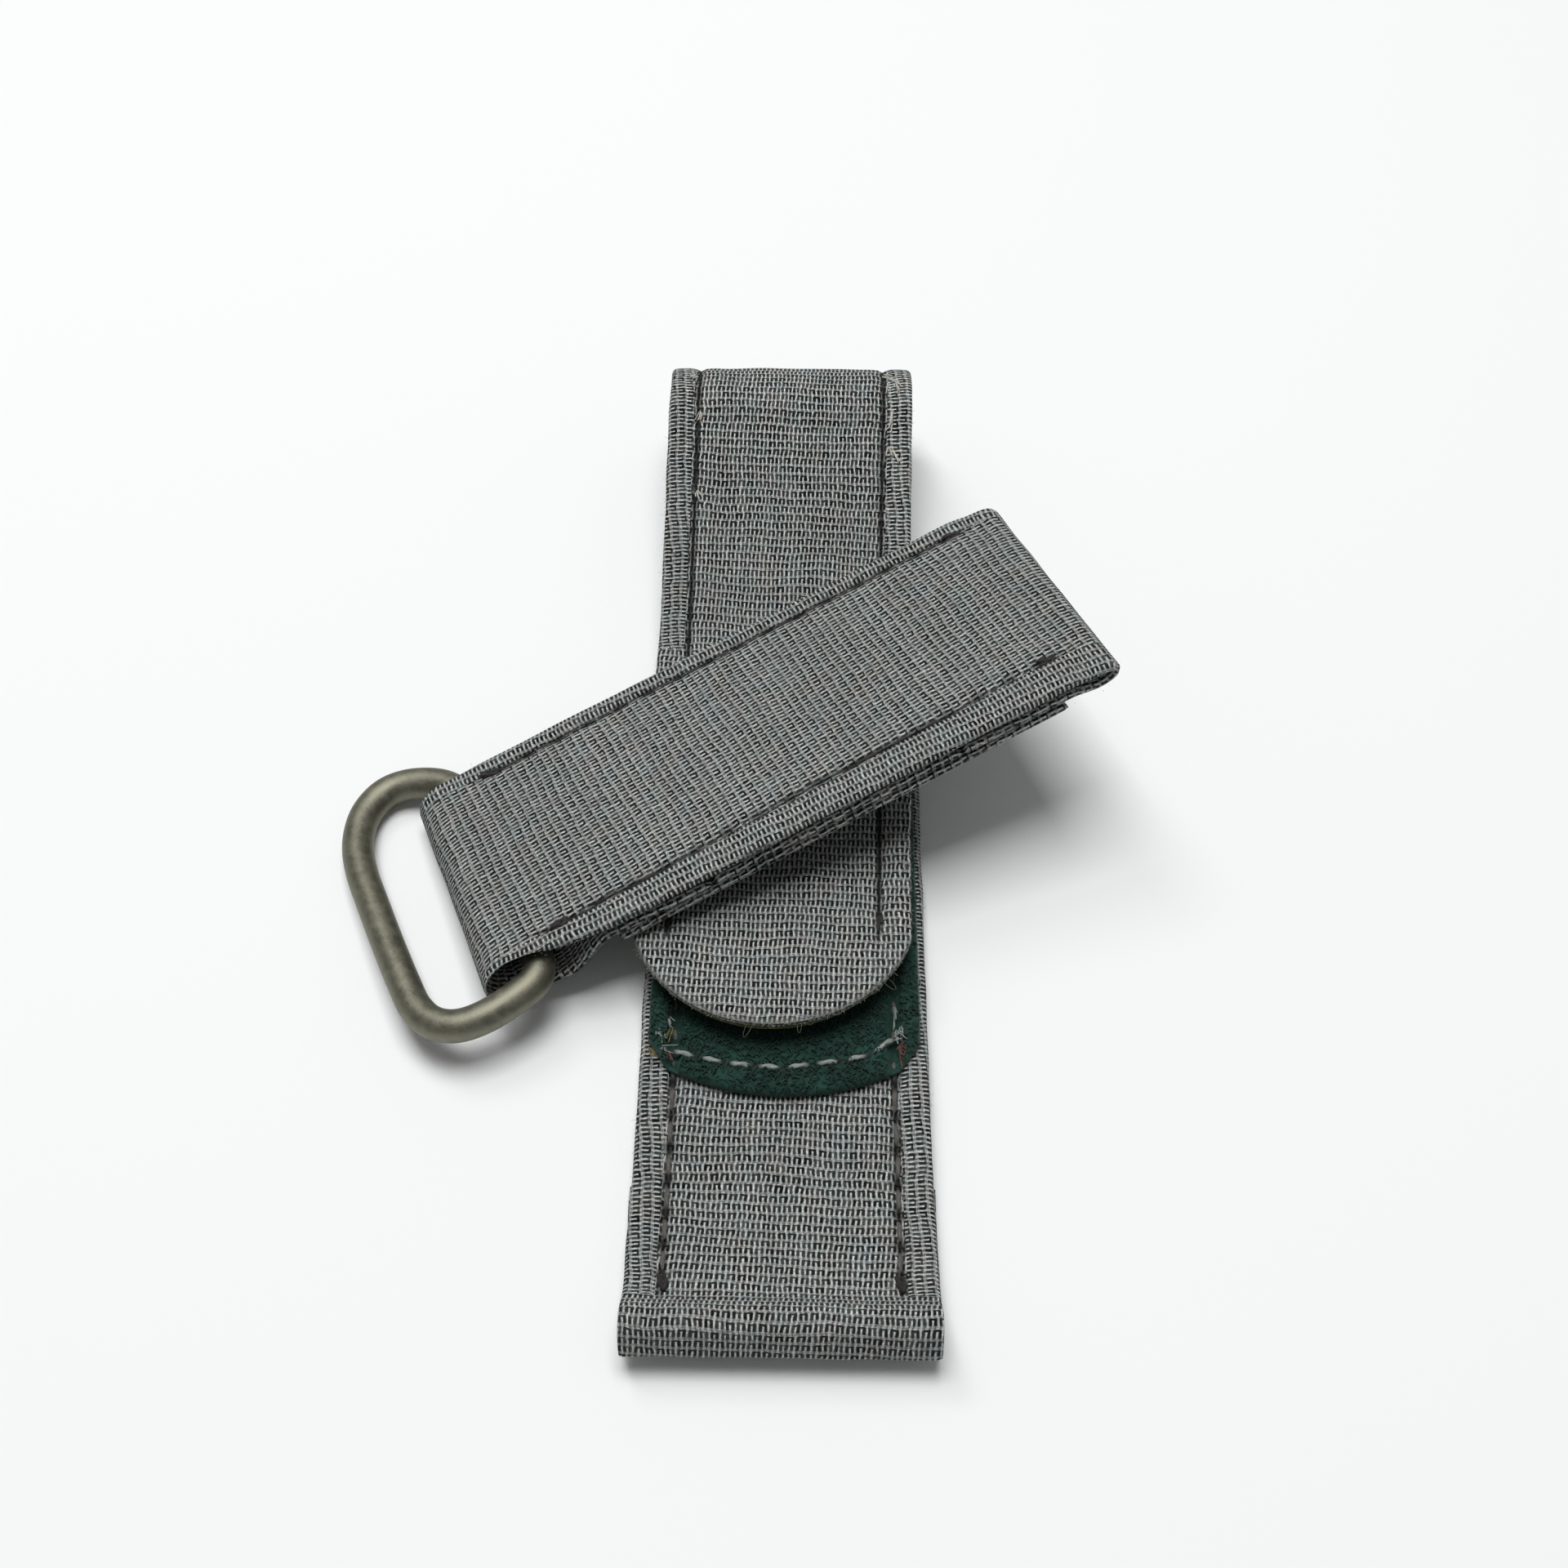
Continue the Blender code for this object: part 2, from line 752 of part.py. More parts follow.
def build_ring(collection, frame):
    """The wire ring on its captive bar's axis."""
    axis = empty_at("ring_axis", (bar_from_fold, ring_shift, bar_level), collection, frame)
    axis.rotation_euler = (0, ring_rest_turn(), 0)
    curve = bpy.data.curves.new("ring", "CURVE")
    curve.dimensions = "3D"
    curve.bevel_depth = wire_radius
    curve.bevel_resolution = wire_rings
    line = ring_outline()
    spline = curve.splines.new("POLY")
    spline.points.add(len(line) - 1)
    for point, (x, y) in zip(spline.points, line):
        point.co = (x, y, 0, 1)
    spline.use_cyclic_u = True
    gunmetal = new_material("ring", (0.14, 0.13, 0.11), 0.35, 1.0)
    place_object("ring", curve, collection, gunmetal, axis)


def main():
    for old in list(bpy.data.objects):
        bpy.data.objects.remove(old)
    strap = bpy.data.collections.new("canvas_watch_strap")
    cutters = bpy.data.collections.new("cutters")
    bpy.context.scene.collection.children.link(strap)
    bpy.context.scene.collection.children.link(cutters)
    hinge = empty_at("fold_axis", (0, fold_centre_y + fold_radius, fold_radius), strap)
    build_lower(strap, cutters, hinge)
    build_lower_seams(strap, hinge)
    build_fold(strap)
    build_flap(strap, cutters)
    frame = short_frame(strap)
    build_short(strap, frame)
    build_short_seams(strap, frame)
    build_ring(strap, frame)


main()
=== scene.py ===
"""Dresses the canvas watch strap: woven plies, sewing thread, looped pile and a satin wire ring."""

import functools
import math

import bpy
import numpy as np
from bpy.props import FloatProperty, FloatVectorProperty, IntProperty, PointerProperty
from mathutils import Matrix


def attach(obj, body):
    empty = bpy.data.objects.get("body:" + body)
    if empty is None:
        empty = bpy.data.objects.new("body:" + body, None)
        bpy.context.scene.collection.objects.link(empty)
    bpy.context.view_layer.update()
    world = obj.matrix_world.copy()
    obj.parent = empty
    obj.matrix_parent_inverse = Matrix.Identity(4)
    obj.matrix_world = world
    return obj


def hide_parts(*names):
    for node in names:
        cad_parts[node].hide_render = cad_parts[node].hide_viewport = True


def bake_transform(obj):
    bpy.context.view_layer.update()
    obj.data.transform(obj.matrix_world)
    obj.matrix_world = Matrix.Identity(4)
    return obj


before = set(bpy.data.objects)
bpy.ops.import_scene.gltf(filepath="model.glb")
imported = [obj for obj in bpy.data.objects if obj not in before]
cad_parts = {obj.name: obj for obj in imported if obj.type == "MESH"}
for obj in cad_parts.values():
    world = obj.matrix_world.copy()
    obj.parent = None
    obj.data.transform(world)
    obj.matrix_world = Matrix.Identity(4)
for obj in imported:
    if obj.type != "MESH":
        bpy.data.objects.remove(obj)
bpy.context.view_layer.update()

bl_info = {
    "name": "Canvas Watch Strap",
    "version": (1, 0, 0),
    "blender": (4, 5, 0),
    "location": "3D View > Sidebar > Strap",
    "description": "Canvas plies, stitching, hook-and-loop panels and wire ring of a watch strap",
    "category": "Object",
}

# Cloth of the long part
strap_width = 0.022
ply = 0.00045
seat_gap = 0.0003
pile_height = 0.0007
hook_height = 0.0004

# Run of the long part, seen from the side
lug_end_y = -0.0522
fold_centre_y = 0.0363
fold_radius = 0.0061
curl_length = 0.013
curl_angle = math.radians(20)
ramp_angle = math.radians(21)
valley_radius = 0.018

# Plan of the flap, the hook panel and the pile panel
flap_reach = 0.0636
flap_tip_width = 0.0215
tip_depth = 0.0079
flap_lean = math.radians(1.0)
hook_length = 0.0205
pile_margin = 0.0006
pile_show = 0.0047
pile_far_y = 0.022
pile_end_depth = 0.0022
pile_corner_width = 0.0016
pile_corner_length = 0.0025
pile_edge_roll = 0.0004

# Bar tunnels at both lug ends
bar_bore_radius = 0.0011
tunnel_length = 0.0047
tuck_length = 0.014
filler_stop = 0.010
step_down_length = 0.004
lower_bulge = 1.1
lower_swell = 0.00018
lug_flare = 0.00022
short_bulge = 0.45

# Seams
seam_inset = 0.0026
channel_width = 0.0012
turning_share = 0.86
tack_length = 0.0014
pile_seam_depth = 0.0017
pile_seam_pitch = 0.0023
pile_seam_slope = 0.03
pile_seam_hook = 0.0008
short_seam_far_y = 0.0092
short_seam_near_y = -0.0085
short_seam_drift = 0.001

# Short part
short_length = 0.0541
short_width = 0.0218
short_ply = 0.00075
ring_end_near = 0.0096
ring_end_far = 0.0109
ring_end_taper = 0.012
short_yaw = math.radians(24.7)
short_crossing = 0.0158
crossing_from_tip = 0.0194
pocket_depth = 0.0056
pocket_slope = 0.004
turn_back = 0.018
ring_end_skew = 0.0008
fold_reach = 0.0005

# How the pocket's near mouth gives way to the wire: thinned from within, and cut back at its edge
mouth_thinning = 0.0006
mouth_reach = 0.0018
mouth_cut = 0.00035
mouth_width = 0.0028

# Wire ring: its centre line in its own plane, from the captive bar round the near end
wire_radius = 0.0013
wire_play = 0.00025
bar_from_fold = 0.0032
ring_shift = 0.0011
ring_line_mm = (
    (0.2, -7.6), (0.18, -9.95), (-0.6, -11.55), (-2.8, -12.4), (-5.4, -12.8), (-7.5, -12.45),
    (-9.0, -11.2), (-9.75, -9.2), (-9.9, -6.6), (-9.95, -2.4), (-9.9, 2.4), (-9.8, 6.0),
    (-9.25, 9.1), (-7.9, 11.7), (-5.9, 13.15), (-3.8, 13.2), (-1.6, 12.1), (-0.2, 10.4),
    (0.2, 8.2), (0.2, 0.0),
)

# Thread ends, each from (x, y) to (x, y) in millimetres seen from above
pale_pile_bits = (
    (-8.85, -25.3, -8.6, -26.0), (-9.65, -26.3, -9.5, -27.2), (-9.4, -26.4, -9.3, -27.1),
    (-9.4, -27.8, -8.5, -27.9), (8.5, -24.3, 8.65, -26.0), (8.6, -26.2, 9.25, -27.0),
    (8.4, -26.9, 9.2, -26.3), (8.9, -26.0, 8.7, -27.2),
)
ochre_pile_bits = ((-8.55, -26.2, -8.8, -27.3), (-10.2, -27.95, -9.7, -28.8))
rust_pile_bits = ((8.75, -27.5, 9.05, -29.4), (9.2, -27.2, 8.8, -28.4), (-9.0, -28.0, -8.8, -28.7))
pale_flap_bits = (
    (9.1, 33.6, 9.0, 31.9), (-8.2, 33.4, -8.3, 32.2), (8.9, 30.2, 9.1, 29.0), (-8.5, 26.1, -8.4, 25.0),
)
pale_fold_bits = (
    (-9.2, 37.7, -8.5, 37.4), (-9.1, 37.2, -8.6, 37.6), (8.5, 37.7, 9.3, 37.4), (9.35, 36.8, 9.3, 35.4),
)

# Visible cloth: the plies lie on one another, so each is thicker than its solid
soft_ply = ply + seat_gap / 2
soft_short_ply = short_ply + seat_gap * 0.6
flap_stack = 2 * ply + seat_gap
stack_height = 3 * ply + 2 * seat_gap
pile_top = stack_height + seat_gap + pile_height
pile_under = stack_height
flap_tip_y = fold_centre_y - flap_reach
pile_near_y = flap_tip_y - pile_show
crossing_y = flap_tip_y + crossing_from_tip
lining_level = soft_ply / 2
face_level_high = stack_height - soft_ply / 2
face_level_low = flap_stack - soft_ply / 2

# Relief of sewn cloth
groove_width = 0.00036
skin_groove_width = 0.00024
short_groove_width = 0.00028
groove_depth = 0.00028
margin_rise = 0.00010
margin_step = 0.0007
swell_reach = 0.0012
swell_width = 0.0007
fold_bow = 0.00035
tip_thinning = 0.42
tip_press_reach = 0.0025
rim_width = 0.00035

# How far edges waver and faces rise and fall, and over what length
waver_length = 0.006
ply_waver, lower_waver, short_waver = 0.00006, 0.00008, 0.00007
uneven_length = 0.005
ply_uneven, face_uneven = 0.00005, 0.00006
flat_uneven, flat_uneven_length = 0.00003, 0.004
pile_uneven, pile_uneven_length = 0.00008, 0.0012
tape_uneven, tape_uneven_length = 0.00003, 0.001

# Distance between rows of points, and how close to an end one more row keeps its wall's edge sharp
face_row = 0.0004
ply_row = 0.00042
flat_row = 0.0005
sharp_row = 0.000004

# Pile loops, and the hooks in rows under the flap's tip
loop_radius = 0.000045
near_loop, far_loop = 0.00026, 0.00028
loop_root = 0.00012
loop_inset = 0.0002
loops_past_tip = 0.0045
hook_row, first_hook_row, last_hook_row = 0.0011, 0.0008, 0.0004
hook_columns_mm = (-9.6, 9.7, 0.8)
hook_tape_inset, hook_inset = 0.0004, 0.0006
hook_rise, hook_lead, hook_radius, hook_bend = 0.00042, 0.0003, 0.00006, 0.72

# Where threads and loose fibres lie
pile_thread_lift = 0.00008
channel_lift, channel_fade = 0.00028, 0.0006
tuft_clearance, tuft_fibre_radius, tuft_fibres = 0.00022, 0.00006, 6
lint_length, lint_radius, lint_low = 0.00026, 0.000012, 0.0002
tip_lint_length, tip_lint_radius = 0.00025, 0.000014
hook_fibre_length, hook_fibre_radius, hook_fibres = 0.0024, 0.000022, 22

# Floor, lamps as (name, place, size, power) and camera
floor_reach, floor_drop = 0.45, 0.00005
lamps = (("window", (-0.34, 0.42, 0.8), 0.3, 1.5), ("ceiling", (-0.04, 0.1, 0.95), 0.5, 6.75))
camera_far, camera_tilt, camera_yaw, camera_shift = 0.18046, math.radians(38), math.radians(0.6), -0.0003
lens_mm, sensor_mm, clip_start = 48.75, 36, 0.01

millimetre = 0.001


def linear(code):
    """An sRGB hex colour as the linear values that Blender mixes."""
    shares = [int(code[place : place + 2], 16) / 255 for place in (1, 3, 5)]
    return [s / 12.92 if s <= 0.04045 else ((s + 0.055) / 1.055) ** 2.4 for s in shares]


def colour(name, description, code):
    """A colour that a user may change."""
    return FloatVectorProperty(
        name=name, description=description, default=linear(code), subtype="COLOR", min=0, max=1
    )


def measure(name, description, default):
    """A length that a user may change."""
    return FloatProperty(name=name, description=description, default=default, unit="LENGTH", precision=6)


def number(name, description, default, least=0):
    """A count that a user may change."""
    return IntProperty(name=name, description=description, default=default, min=least)


class StrapCanvas(bpy.types.PropertyGroup):
    warp_pitch: measure("Warp spacing", "Distance between warp threads across the strap", 0.000375)
    weft_pitch: measure("Weft spacing", "Distance between weft picks along the strap", 0.00078)
    slant: FloatProperty(
        name="Weave slant", description="Turn of the weave against the strap's edge",
        default=math.radians(2.5), subtype="ANGLE",
    )
    relief: measure("Weave relief", "Height of a thread's crown over the gaps", 0.00014)
    tone: colour("Canvas", "Crown of the canvas threads", "#afb1af")
    gap_tone: colour("Gap", "Shade between the threads", "#060808")
    rim_tone: colour("Pressed rim", "Smooth rim of the flap's tip", "#7d7f7a")
    lining_tone: colour("Stiffener", "Undyed inner cloth", "#d8d3c6")
    lining_gap_tone: colour("Stiffener's gap", "Shade between the inner cloth's threads", "#8f8a7d")


class StrapThread(bpy.types.PropertyGroup):
    radius: measure("Thread radius", "Half the thickness of the two-ply sewing thread", 0.00022)
    pitch: measure("Stitch length", "Distance from one needle hole to the next", 0.0027)
    dark: colour("Dark thread", "Thread of the side seams", "#5b5753")
    # Painted shade: a darker copy of the side seams' thread, for where it lies deep in its groove
    groove_shaded: colour("Sunken thread", "Side seam's thread where it lies deep in its groove", "#2e2826")
    # Painted shade: the same thread painted near black where it is wound over itself at a tack
    knot: colour("Tack thread", "Thread laid over itself at a seam's end", "#1f1c1a")
    pale: colour("Pale thread", "Thread across the pile panel's end", "#8b928e")
    rust: colour("Rust thread", "Reddish brown thread ends at the pile's knots", "#5e3a30")
    ochre: colour("Ochre fibre", "Tuft of dark yellow fibre at the pile's corner", "#6b6236")
    fibre: colour("Hook tape fibre", "Curled fibres at the edge of the hook tape", "#5a6046")
    cream: colour("Cream fibre", "Undyed fibre at the fold's needle holes", "#d2cec4")
    lint: colour("Lint", "Loose canvas fibres along the edges", "#a3a49f")
    lint_count: number("Lint fibres", "Loose fibres on each edge", 180, 1)


class StrapPile(bpy.types.PropertyGroup):
    loops: number("Loops in sight", "Number of loops past the flap's tip", 1500)
    hidden_loops: number("Loops under the flap", "Number of loops under the flap", 3300)
    tone: colour("Pile", "Looped pile", "#1c3b33")
    hook_tone: colour("Hook tape", "Olive hook tape", "#5c6138")


class StrapRing(bpy.types.PropertyGroup):
    tone: colour("Gunmetal", "Satin gunmetal plating", "#737265")
    worn_tone: colour("Worn edge", "Plating rubbed bright", "#939180")


class StrapStage(bpy.types.PropertyGroup):
    floor_tone: colour("Floor", "Pale table top", "#f7f9f9")


# Shapes as functions of two parameters


def ease(share):
    """A smooth step: 3s² − 2s³, with s held between 0 and 1."""
    share = np.clip(share, 0, 1)
    return share * share * (3 - 2 * share)


def together(*parts):
    """Arrays side by side, as the coordinates of points."""
    return np.stack(np.broadcast_arrays(*parts), -1)


def crowded(count, crowd):
    """Steps from 0 to 1 that stand closer at both ends: t − c·sin(2πt)/2π."""
    steps = np.linspace(0, 1, count)
    return steps - crowd * np.sin(math.tau * steps) / math.tau


def sides(columns, crowd=0.85):
    """Shares across a ply, from -1 to 1, closer at both sides."""
    return (2 * crowded(columns, crowd) - 1)[None, :]


def ripple(across, along, size, seed):
    """Smooth unevenness: the mean of sine waves of about one length, each with its own bearing and phase."""
    dice = np.random.default_rng(seed)
    bearing = dice.uniform(0, math.tau, 12)
    length = size * dice.uniform(0.7, 1.6, 12)
    phase = dice.uniform(0, math.tau, 12)
    run = np.asarray(across)[..., None] * np.cos(bearing) + np.asarray(along)[..., None] * np.sin(bearing)
    return 2 * np.sin(math.tau * run / length + phase).mean(-1)


def rounding(edge, radius):
    """Share of full thickness at a distance from a rounded edge: a quarter circle, sqrt(1 − (1 − e/r)²)."""
    return np.sqrt(1 - (1 - np.clip(edge / radius, 0, 1)) ** 2)


def off_zero(edge, thick):
    """Distances to a ply's edge, kept off zero between its sides so that no face there has no height."""
    edge[:, 1:-1] = np.maximum(edge[:, 1:-1], thick / 40)
    return edge


def arc_radius(half, depth):
    """Radius of an arc from its half width and its depth: (h² + d²)/2d."""
    return (half * half + depth * depth) / (2 * depth)


def long_runs():
    """The skin line's runs as (length, turn): curl, level, fold, ramp, valley and tip."""
    curl_radius = curl_length / curl_angle
    level = fold_centre_y - lug_end_y - curl_radius * math.sin(curl_angle)
    low = pile_top + seat_gap + flap_stack
    valley_far = fold_radius * math.sin(ramp_angle)
    ramp_top = fold_radius * (1 + math.cos(ramp_angle))
    ramp_drop = ramp_top - low - valley_radius * (1 - math.cos(ramp_angle))
    ramp = ramp_drop / math.sin(ramp_angle)
    valley_reach = valley_far + ramp * math.cos(ramp_angle) + valley_radius * math.sin(ramp_angle)
    tip_run = flap_reach - valley_reach
    tip_rise = math.atan((hook_height + seat_gap) / (tip_run - hook_length))
    valley_turn = ramp_angle + tip_rise
    return [
        (curl_length, curl_angle),
        (level, 0),
        (fold_radius * (math.pi + ramp_angle), math.pi + ramp_angle),
        (ramp, 0),
        (valley_radius * valley_turn, -valley_turn),
        (tip_run, 0),
    ]


runs = long_runs()
fold_start = runs[0][0] + runs[1][0]
flap_start = fold_start + runs[2][0]
valley_end = flap_start + runs[3][0] + runs[4][0]
tip_end = valley_end + runs[5][0]
hook_start = tip_end - hook_length


def skin(travel):
    """Place and heading of the skin line: a run of length L and turn T turns the heading h by b = T·s/L
    and moves the place by L/T·(sin(h+b) − sin h, cos h − cos(h+b)), or straight on where T is 0."""
    travel = np.asarray(travel, float)
    heading = np.full(travel.shape, -curl_angle)
    y = np.full(travel.shape, lug_end_y)
    z = np.full(travel.shape, curl_length / curl_angle * (1 - math.cos(curl_angle)))
    passed = 0
    for length, turn in runs:
        longest = length if passed + length < tip_end - ply else np.inf
        part = np.clip(travel - passed, 0, longest)
        if turn:
            bend = turn * part / length
            y = y + length / turn * (np.sin(heading + bend) - np.sin(heading))
            z = z + length / turn * (np.cos(heading) - np.cos(heading + bend))
            heading = heading + bend
        else:
            y = y + part * np.cos(heading)
            z = z + part * np.sin(heading)
        passed += length
    return y, z, heading


def on_long(travel, level, across):
    """World points of the long part: the skin line moved by a level along its left-hand normal."""
    y, z, heading = skin(travel)
    return together(across, y - level * np.sin(heading), z + level * np.cos(heading))


def past_crown(travel):
    """Whether a place lies past the fold's crown, where the flap starts to lean and to narrow."""
    return np.asarray(travel) > fold_start + fold_radius * math.pi / 2


def lean(travel):
    """Sideways lean of the flap: −(y0 − y)·tan(lean)."""
    shift = -np.clip(fold_centre_y - skin(travel)[0], 0, None) * math.tan(flap_lean)
    return np.where(past_crown(travel), shift, 0)


def drawn_in(share):
    """Half the flap's width at a share of its reach, drawn in evenly to the tip's width."""
    return (strap_width + (flap_tip_width - strap_width) * share) / 2


def half_width(travel):
    """Half the width along the long part: full up to the fold's crown."""
    share = np.clip((fold_centre_y - skin(travel)[0]) / flap_reach, 0, 1)
    return drawn_in(np.where(past_crown(travel), share, 0))


def face_level(travel):
    """The face canvas steps down one ply where the stiffener stops, ahead of the fold."""
    start = fold_start - filler_stop
    drop = face_level_low - face_level_high
    return face_level_high + drop * ease((travel - start) / step_down_length)


def tip_travel(side):
    """Where the cloth ends at a share of its width: the tip's arc, R − sqrt(R² − x²), laid along the run."""
    half = half_width(np.array(tip_end - tip_depth))
    radius = arc_radius(half, tip_depth)
    y, _, heading = skin(np.array(tip_end))
    arc = flap_tip_y + radius - np.sqrt(radius * radius - (side * half) ** 2)
    return tip_end - (arc - y) / np.abs(np.cos(heading))


def tip_press(left):
    """The plies are squeezed thinner towards the tip: 1 − c·ease of the nearness to its edge."""
    return 1 - tip_thinning * ease(1 - left / tip_press_reach)


def seam_phase(travel, first, last, pitch):
    """Stitches counted from the first hole."""
    return (travel - first) / (last - first) * max(round((last - first) / pitch), 1)


def sewn(gap, phase, inside, rise, width=groove_width, shade=0.55):
    """Relief beside a seam, and how much painted shade lies in its groove: a turned-in margin that stands up
    outside it, a soft swell inside it, and a bell-shaped groove, exp(−(g/w)²), widest and deepest at needle
    holes, where the painted shade is darkest too."""
    wide = (1 + np.cos(math.tau * phase)) / 2
    bell = np.exp(-((gap / width) ** 2))
    margin = ease((gap - width) / margin_step)
    swell = np.exp(-(((gap + swell_reach) / swell_width) ** 2)) / 2
    relief = inside * (rise * (margin + swell) - groove_depth * (0.65 + 0.35 * wide**3) * bell)
    # The share of painted shade in the groove, widest and darkest at the needle holes
    spread = gap / width / (0.55 + 0.65 * wide)
    return relief, inside * (shade + (1 - shade) * wide) * np.exp(-(spread**2))


def between(value, low, high, soft):
    """1 between two places, fading to 0 past them."""
    return ease((value - low) / soft + 1) * ease((high - value) / soft + 1)


# Meshes


def mesh_object(name, points, faces, uv, material, marks=None, flat=0):
    """A mesh from arrays, with its coordinates in millimetres as a UV map; its last faces stay flat. Where
    marks hold a margin, the faces in it take their coordinates a quarter turn round."""
    mesh = bpy.data.meshes.new(name)
    mesh.from_pydata(points, [], faces)
    corners = np.empty(len(mesh.loops), int)
    mesh.loops.foreach_get("vertex_index", corners)
    layer = mesh.uv_layers.new(name="cloth_mm")
    marks = marks or {}
    placed = uv[corners]
    if "margin" in marks:
        first = np.empty(len(mesh.polygons), int)
        count = np.empty(len(mesh.polygons), int)
        mesh.polygons.foreach_get("loop_start", first)
        mesh.polygons.foreach_get("loop_total", count)
        inside = np.minimum.reduceat(marks["margin"][corners], first) > 0
        inside = np.repeat(inside, count)[:, None]
        placed = np.where(inside, placed[:, ::-1], placed)
    layer.data.foreach_set("uv", (placed / millimetre).astype(np.float32).ravel())
    smooth = np.ones(len(mesh.polygons), bool)
    if flat:
        smooth[-flat:] = False
    mesh.polygons.foreach_set("use_smooth", smooth)
    for mark in ("pressed", "rim", "stretched"):
        if mark in marks:
            attribute = mesh.attributes.new(mark, "FLOAT", "POINT")
            attribute.data.foreach_set("value", marks[mark].astype(np.float32))
    mesh.materials.append(material)
    mesh.update()
    made = bpy.data.objects.new(name, mesh)
    bpy.context.scene.collection.objects.link(made)
    return made


def quads(*corners):
    """Four-cornered faces from four grids of point numbers."""
    return np.stack(corners, -1).reshape(-1, 4).tolist()


def outward(points, faces):
    """Faces turned so that the volume they enclose, a sum of corner products, is positive."""
    total = 0.0
    halves = [face[:3] for face in faces], [(f[0], f[2], f[3]) for f in faces if len(f) == 4]
    for corners in map(np.array, halves):
        if len(corners):
            a, b, c = points[corners[:, 0]], points[corners[:, 1]], points[corners[:, 2]]
            total += np.einsum("ij,ij->", a, np.cross(b, c))
    return faces if total > 0 else [face[::-1] for face in faces]


def girth(across, rise):
    """Distance across a cloth, followed over its rise and fall and counted from its middle column."""
    across = across + 0 * rise
    step = np.hypot(np.diff(across, axis=1), np.diff(rise, axis=1))
    run = np.concatenate([0 * rise[:, :1], np.cumsum(step, axis=1)], 1)
    middle = run.shape[1] // 2
    return run + (across - run)[:, middle : middle + 1]


def closed_cloth(name, outer, inner, uv, material, marks=None):
    """A closed cloth from two grids: they share their side rims and are joined by a wall at each end."""
    rows, columns = outer.shape[:2]
    over = np.arange(rows * columns).reshape(rows, columns)
    under = over.copy()
    under[:, 1:-1] = rows * columns + np.arange(rows * (columns - 2)).reshape(rows, columns - 2)
    points = np.concatenate([outer.reshape(-1, 3), inner[:, 1:-1].reshape(-1, 3)])
    uv = np.concatenate([uv[0].reshape(-1, 2), uv[1][:, 1:-1].reshape(-1, 2)])
    faces = []
    for grid, order in ((over, 1), (under, -1)):
        faces += quads(*(grid[:-1, :-1], grid[:-1, 1:], grid[1:, 1:], grid[1:, :-1])[::order])
    walls = []
    for row, order in ((0, -1), (rows - 1, 1)):
        for column in range(columns - 1):
            wall = [over[row, column], over[row, column + 1], under[row, column + 1], under[row, column]]
            walls.append(list(dict.fromkeys(int(corner) for corner in wall))[::order])
    for mark in marks or {}:
        values = np.broadcast_to(marks[mark], (rows, columns))
        marks[mark] = np.concatenate([values.reshape(-1), values[:, 1:-1].reshape(-1)])
    return mesh_object(name, points, outward(points, faces + walls), uv, material, marks, len(walls))


def cloth_strip(
    name, path, across, world, thick, material, edge, along, outer=0.0, inner=0.0,
    round_ends=(True, True), sign=1, marks=None,
):
    """One ply: a centre surface of (distance, level) pairs, thickened both ways along its own normal.
    edge is the distance to the ply's side, along is what its weave is counted on, and outer and inner are
    the relief added on each side."""
    slope = np.gradient(path, axis=0)
    slope = slope / np.linalg.norm(slope, axis=-1, keepdims=True)
    normal = sign * together(-slope[..., 1], slope[..., 0])
    step = np.linalg.norm(np.diff(path, axis=0), axis=-1)
    run = np.concatenate([np.zeros((1, path.shape[1])), np.cumsum(step, axis=0)])
    half = thick / 2 * rounding(edge, 0.7 * thick)
    full = rounding(edge, 1.5 * thick)
    for rounded, left in zip(round_ends, (run, run[-1] - run)):
        if rounded:
            half = half * np.clip(rounding(left, 0.7 * thick), 0.12, 1)
    grids, uv = [], []
    for way, relief in ((1, outer), (-1, inner)):
        rise = half + relief * full
        face = path + way * normal * rise[..., None]
        grids.append(world(face[..., 0], face[..., 1], across))
        uv.append(together(girth(across, rise), along))
    return closed_cloth(name, *grids, uv, material, marks)


def tubes(name, paths, ups, radius, sides, material, twist=None, pressed=None):
    """Round sections carried along paths: p + r·(cos a·side + sin a·up), capped at both ends. Where twist is
    given, the section is two-ply: r·(0.62 + 0.38·|cos(a − twist)|), and pressed says how much painted
    shade darkens it where it dives into its groove."""
    count, rows = paths.shape[:2]
    ahead = np.gradient(paths, axis=1)
    ahead /= np.linalg.norm(ahead, axis=-1, keepdims=True) + 1e-12
    side = np.cross(ahead, ups)
    side /= np.linalg.norm(side, axis=-1, keepdims=True) + 1e-12
    up = np.cross(side, ahead)
    angle = np.arange(sides) / sides * math.tau
    reach = np.broadcast_to(np.asarray(radius, float), (count, rows))[..., None] * np.ones(sides)
    if twist is not None:
        reach = reach * (0.62 + 0.38 * np.abs(np.cos(angle - twist[..., None])))
    ring = np.cos(angle)[:, None] * side[:, :, None] + np.sin(angle)[:, None] * up[:, :, None]
    points = paths[:, :, None] + reach[..., None] * ring
    index = np.arange(count * rows * sides).reshape(count, rows, sides)
    turned = np.roll(index, -1, axis=2)
    caps = index[:, 0, ::-1].tolist() + index[:, -1].tolist()
    step = np.linalg.norm(np.diff(paths, axis=1), axis=-1)
    lengths = np.concatenate([np.zeros((count, 1)), np.cumsum(step, axis=1)], 1)
    uv = together(lengths[..., None] + 0 * angle, reach * (angle + math.pi)).reshape(-1, 2)
    points = points.reshape(-1, 3)
    walls = quads(index[:, :-1], turned[:, :-1], turned[:, 1:], index[:, 1:])
    faces = outward(points, walls + caps)
    marks = None if pressed is None else {"pressed": np.repeat(pressed, sides)}
    return mesh_object(name, points, faces, uv, material, marks, len(caps))


# Materials


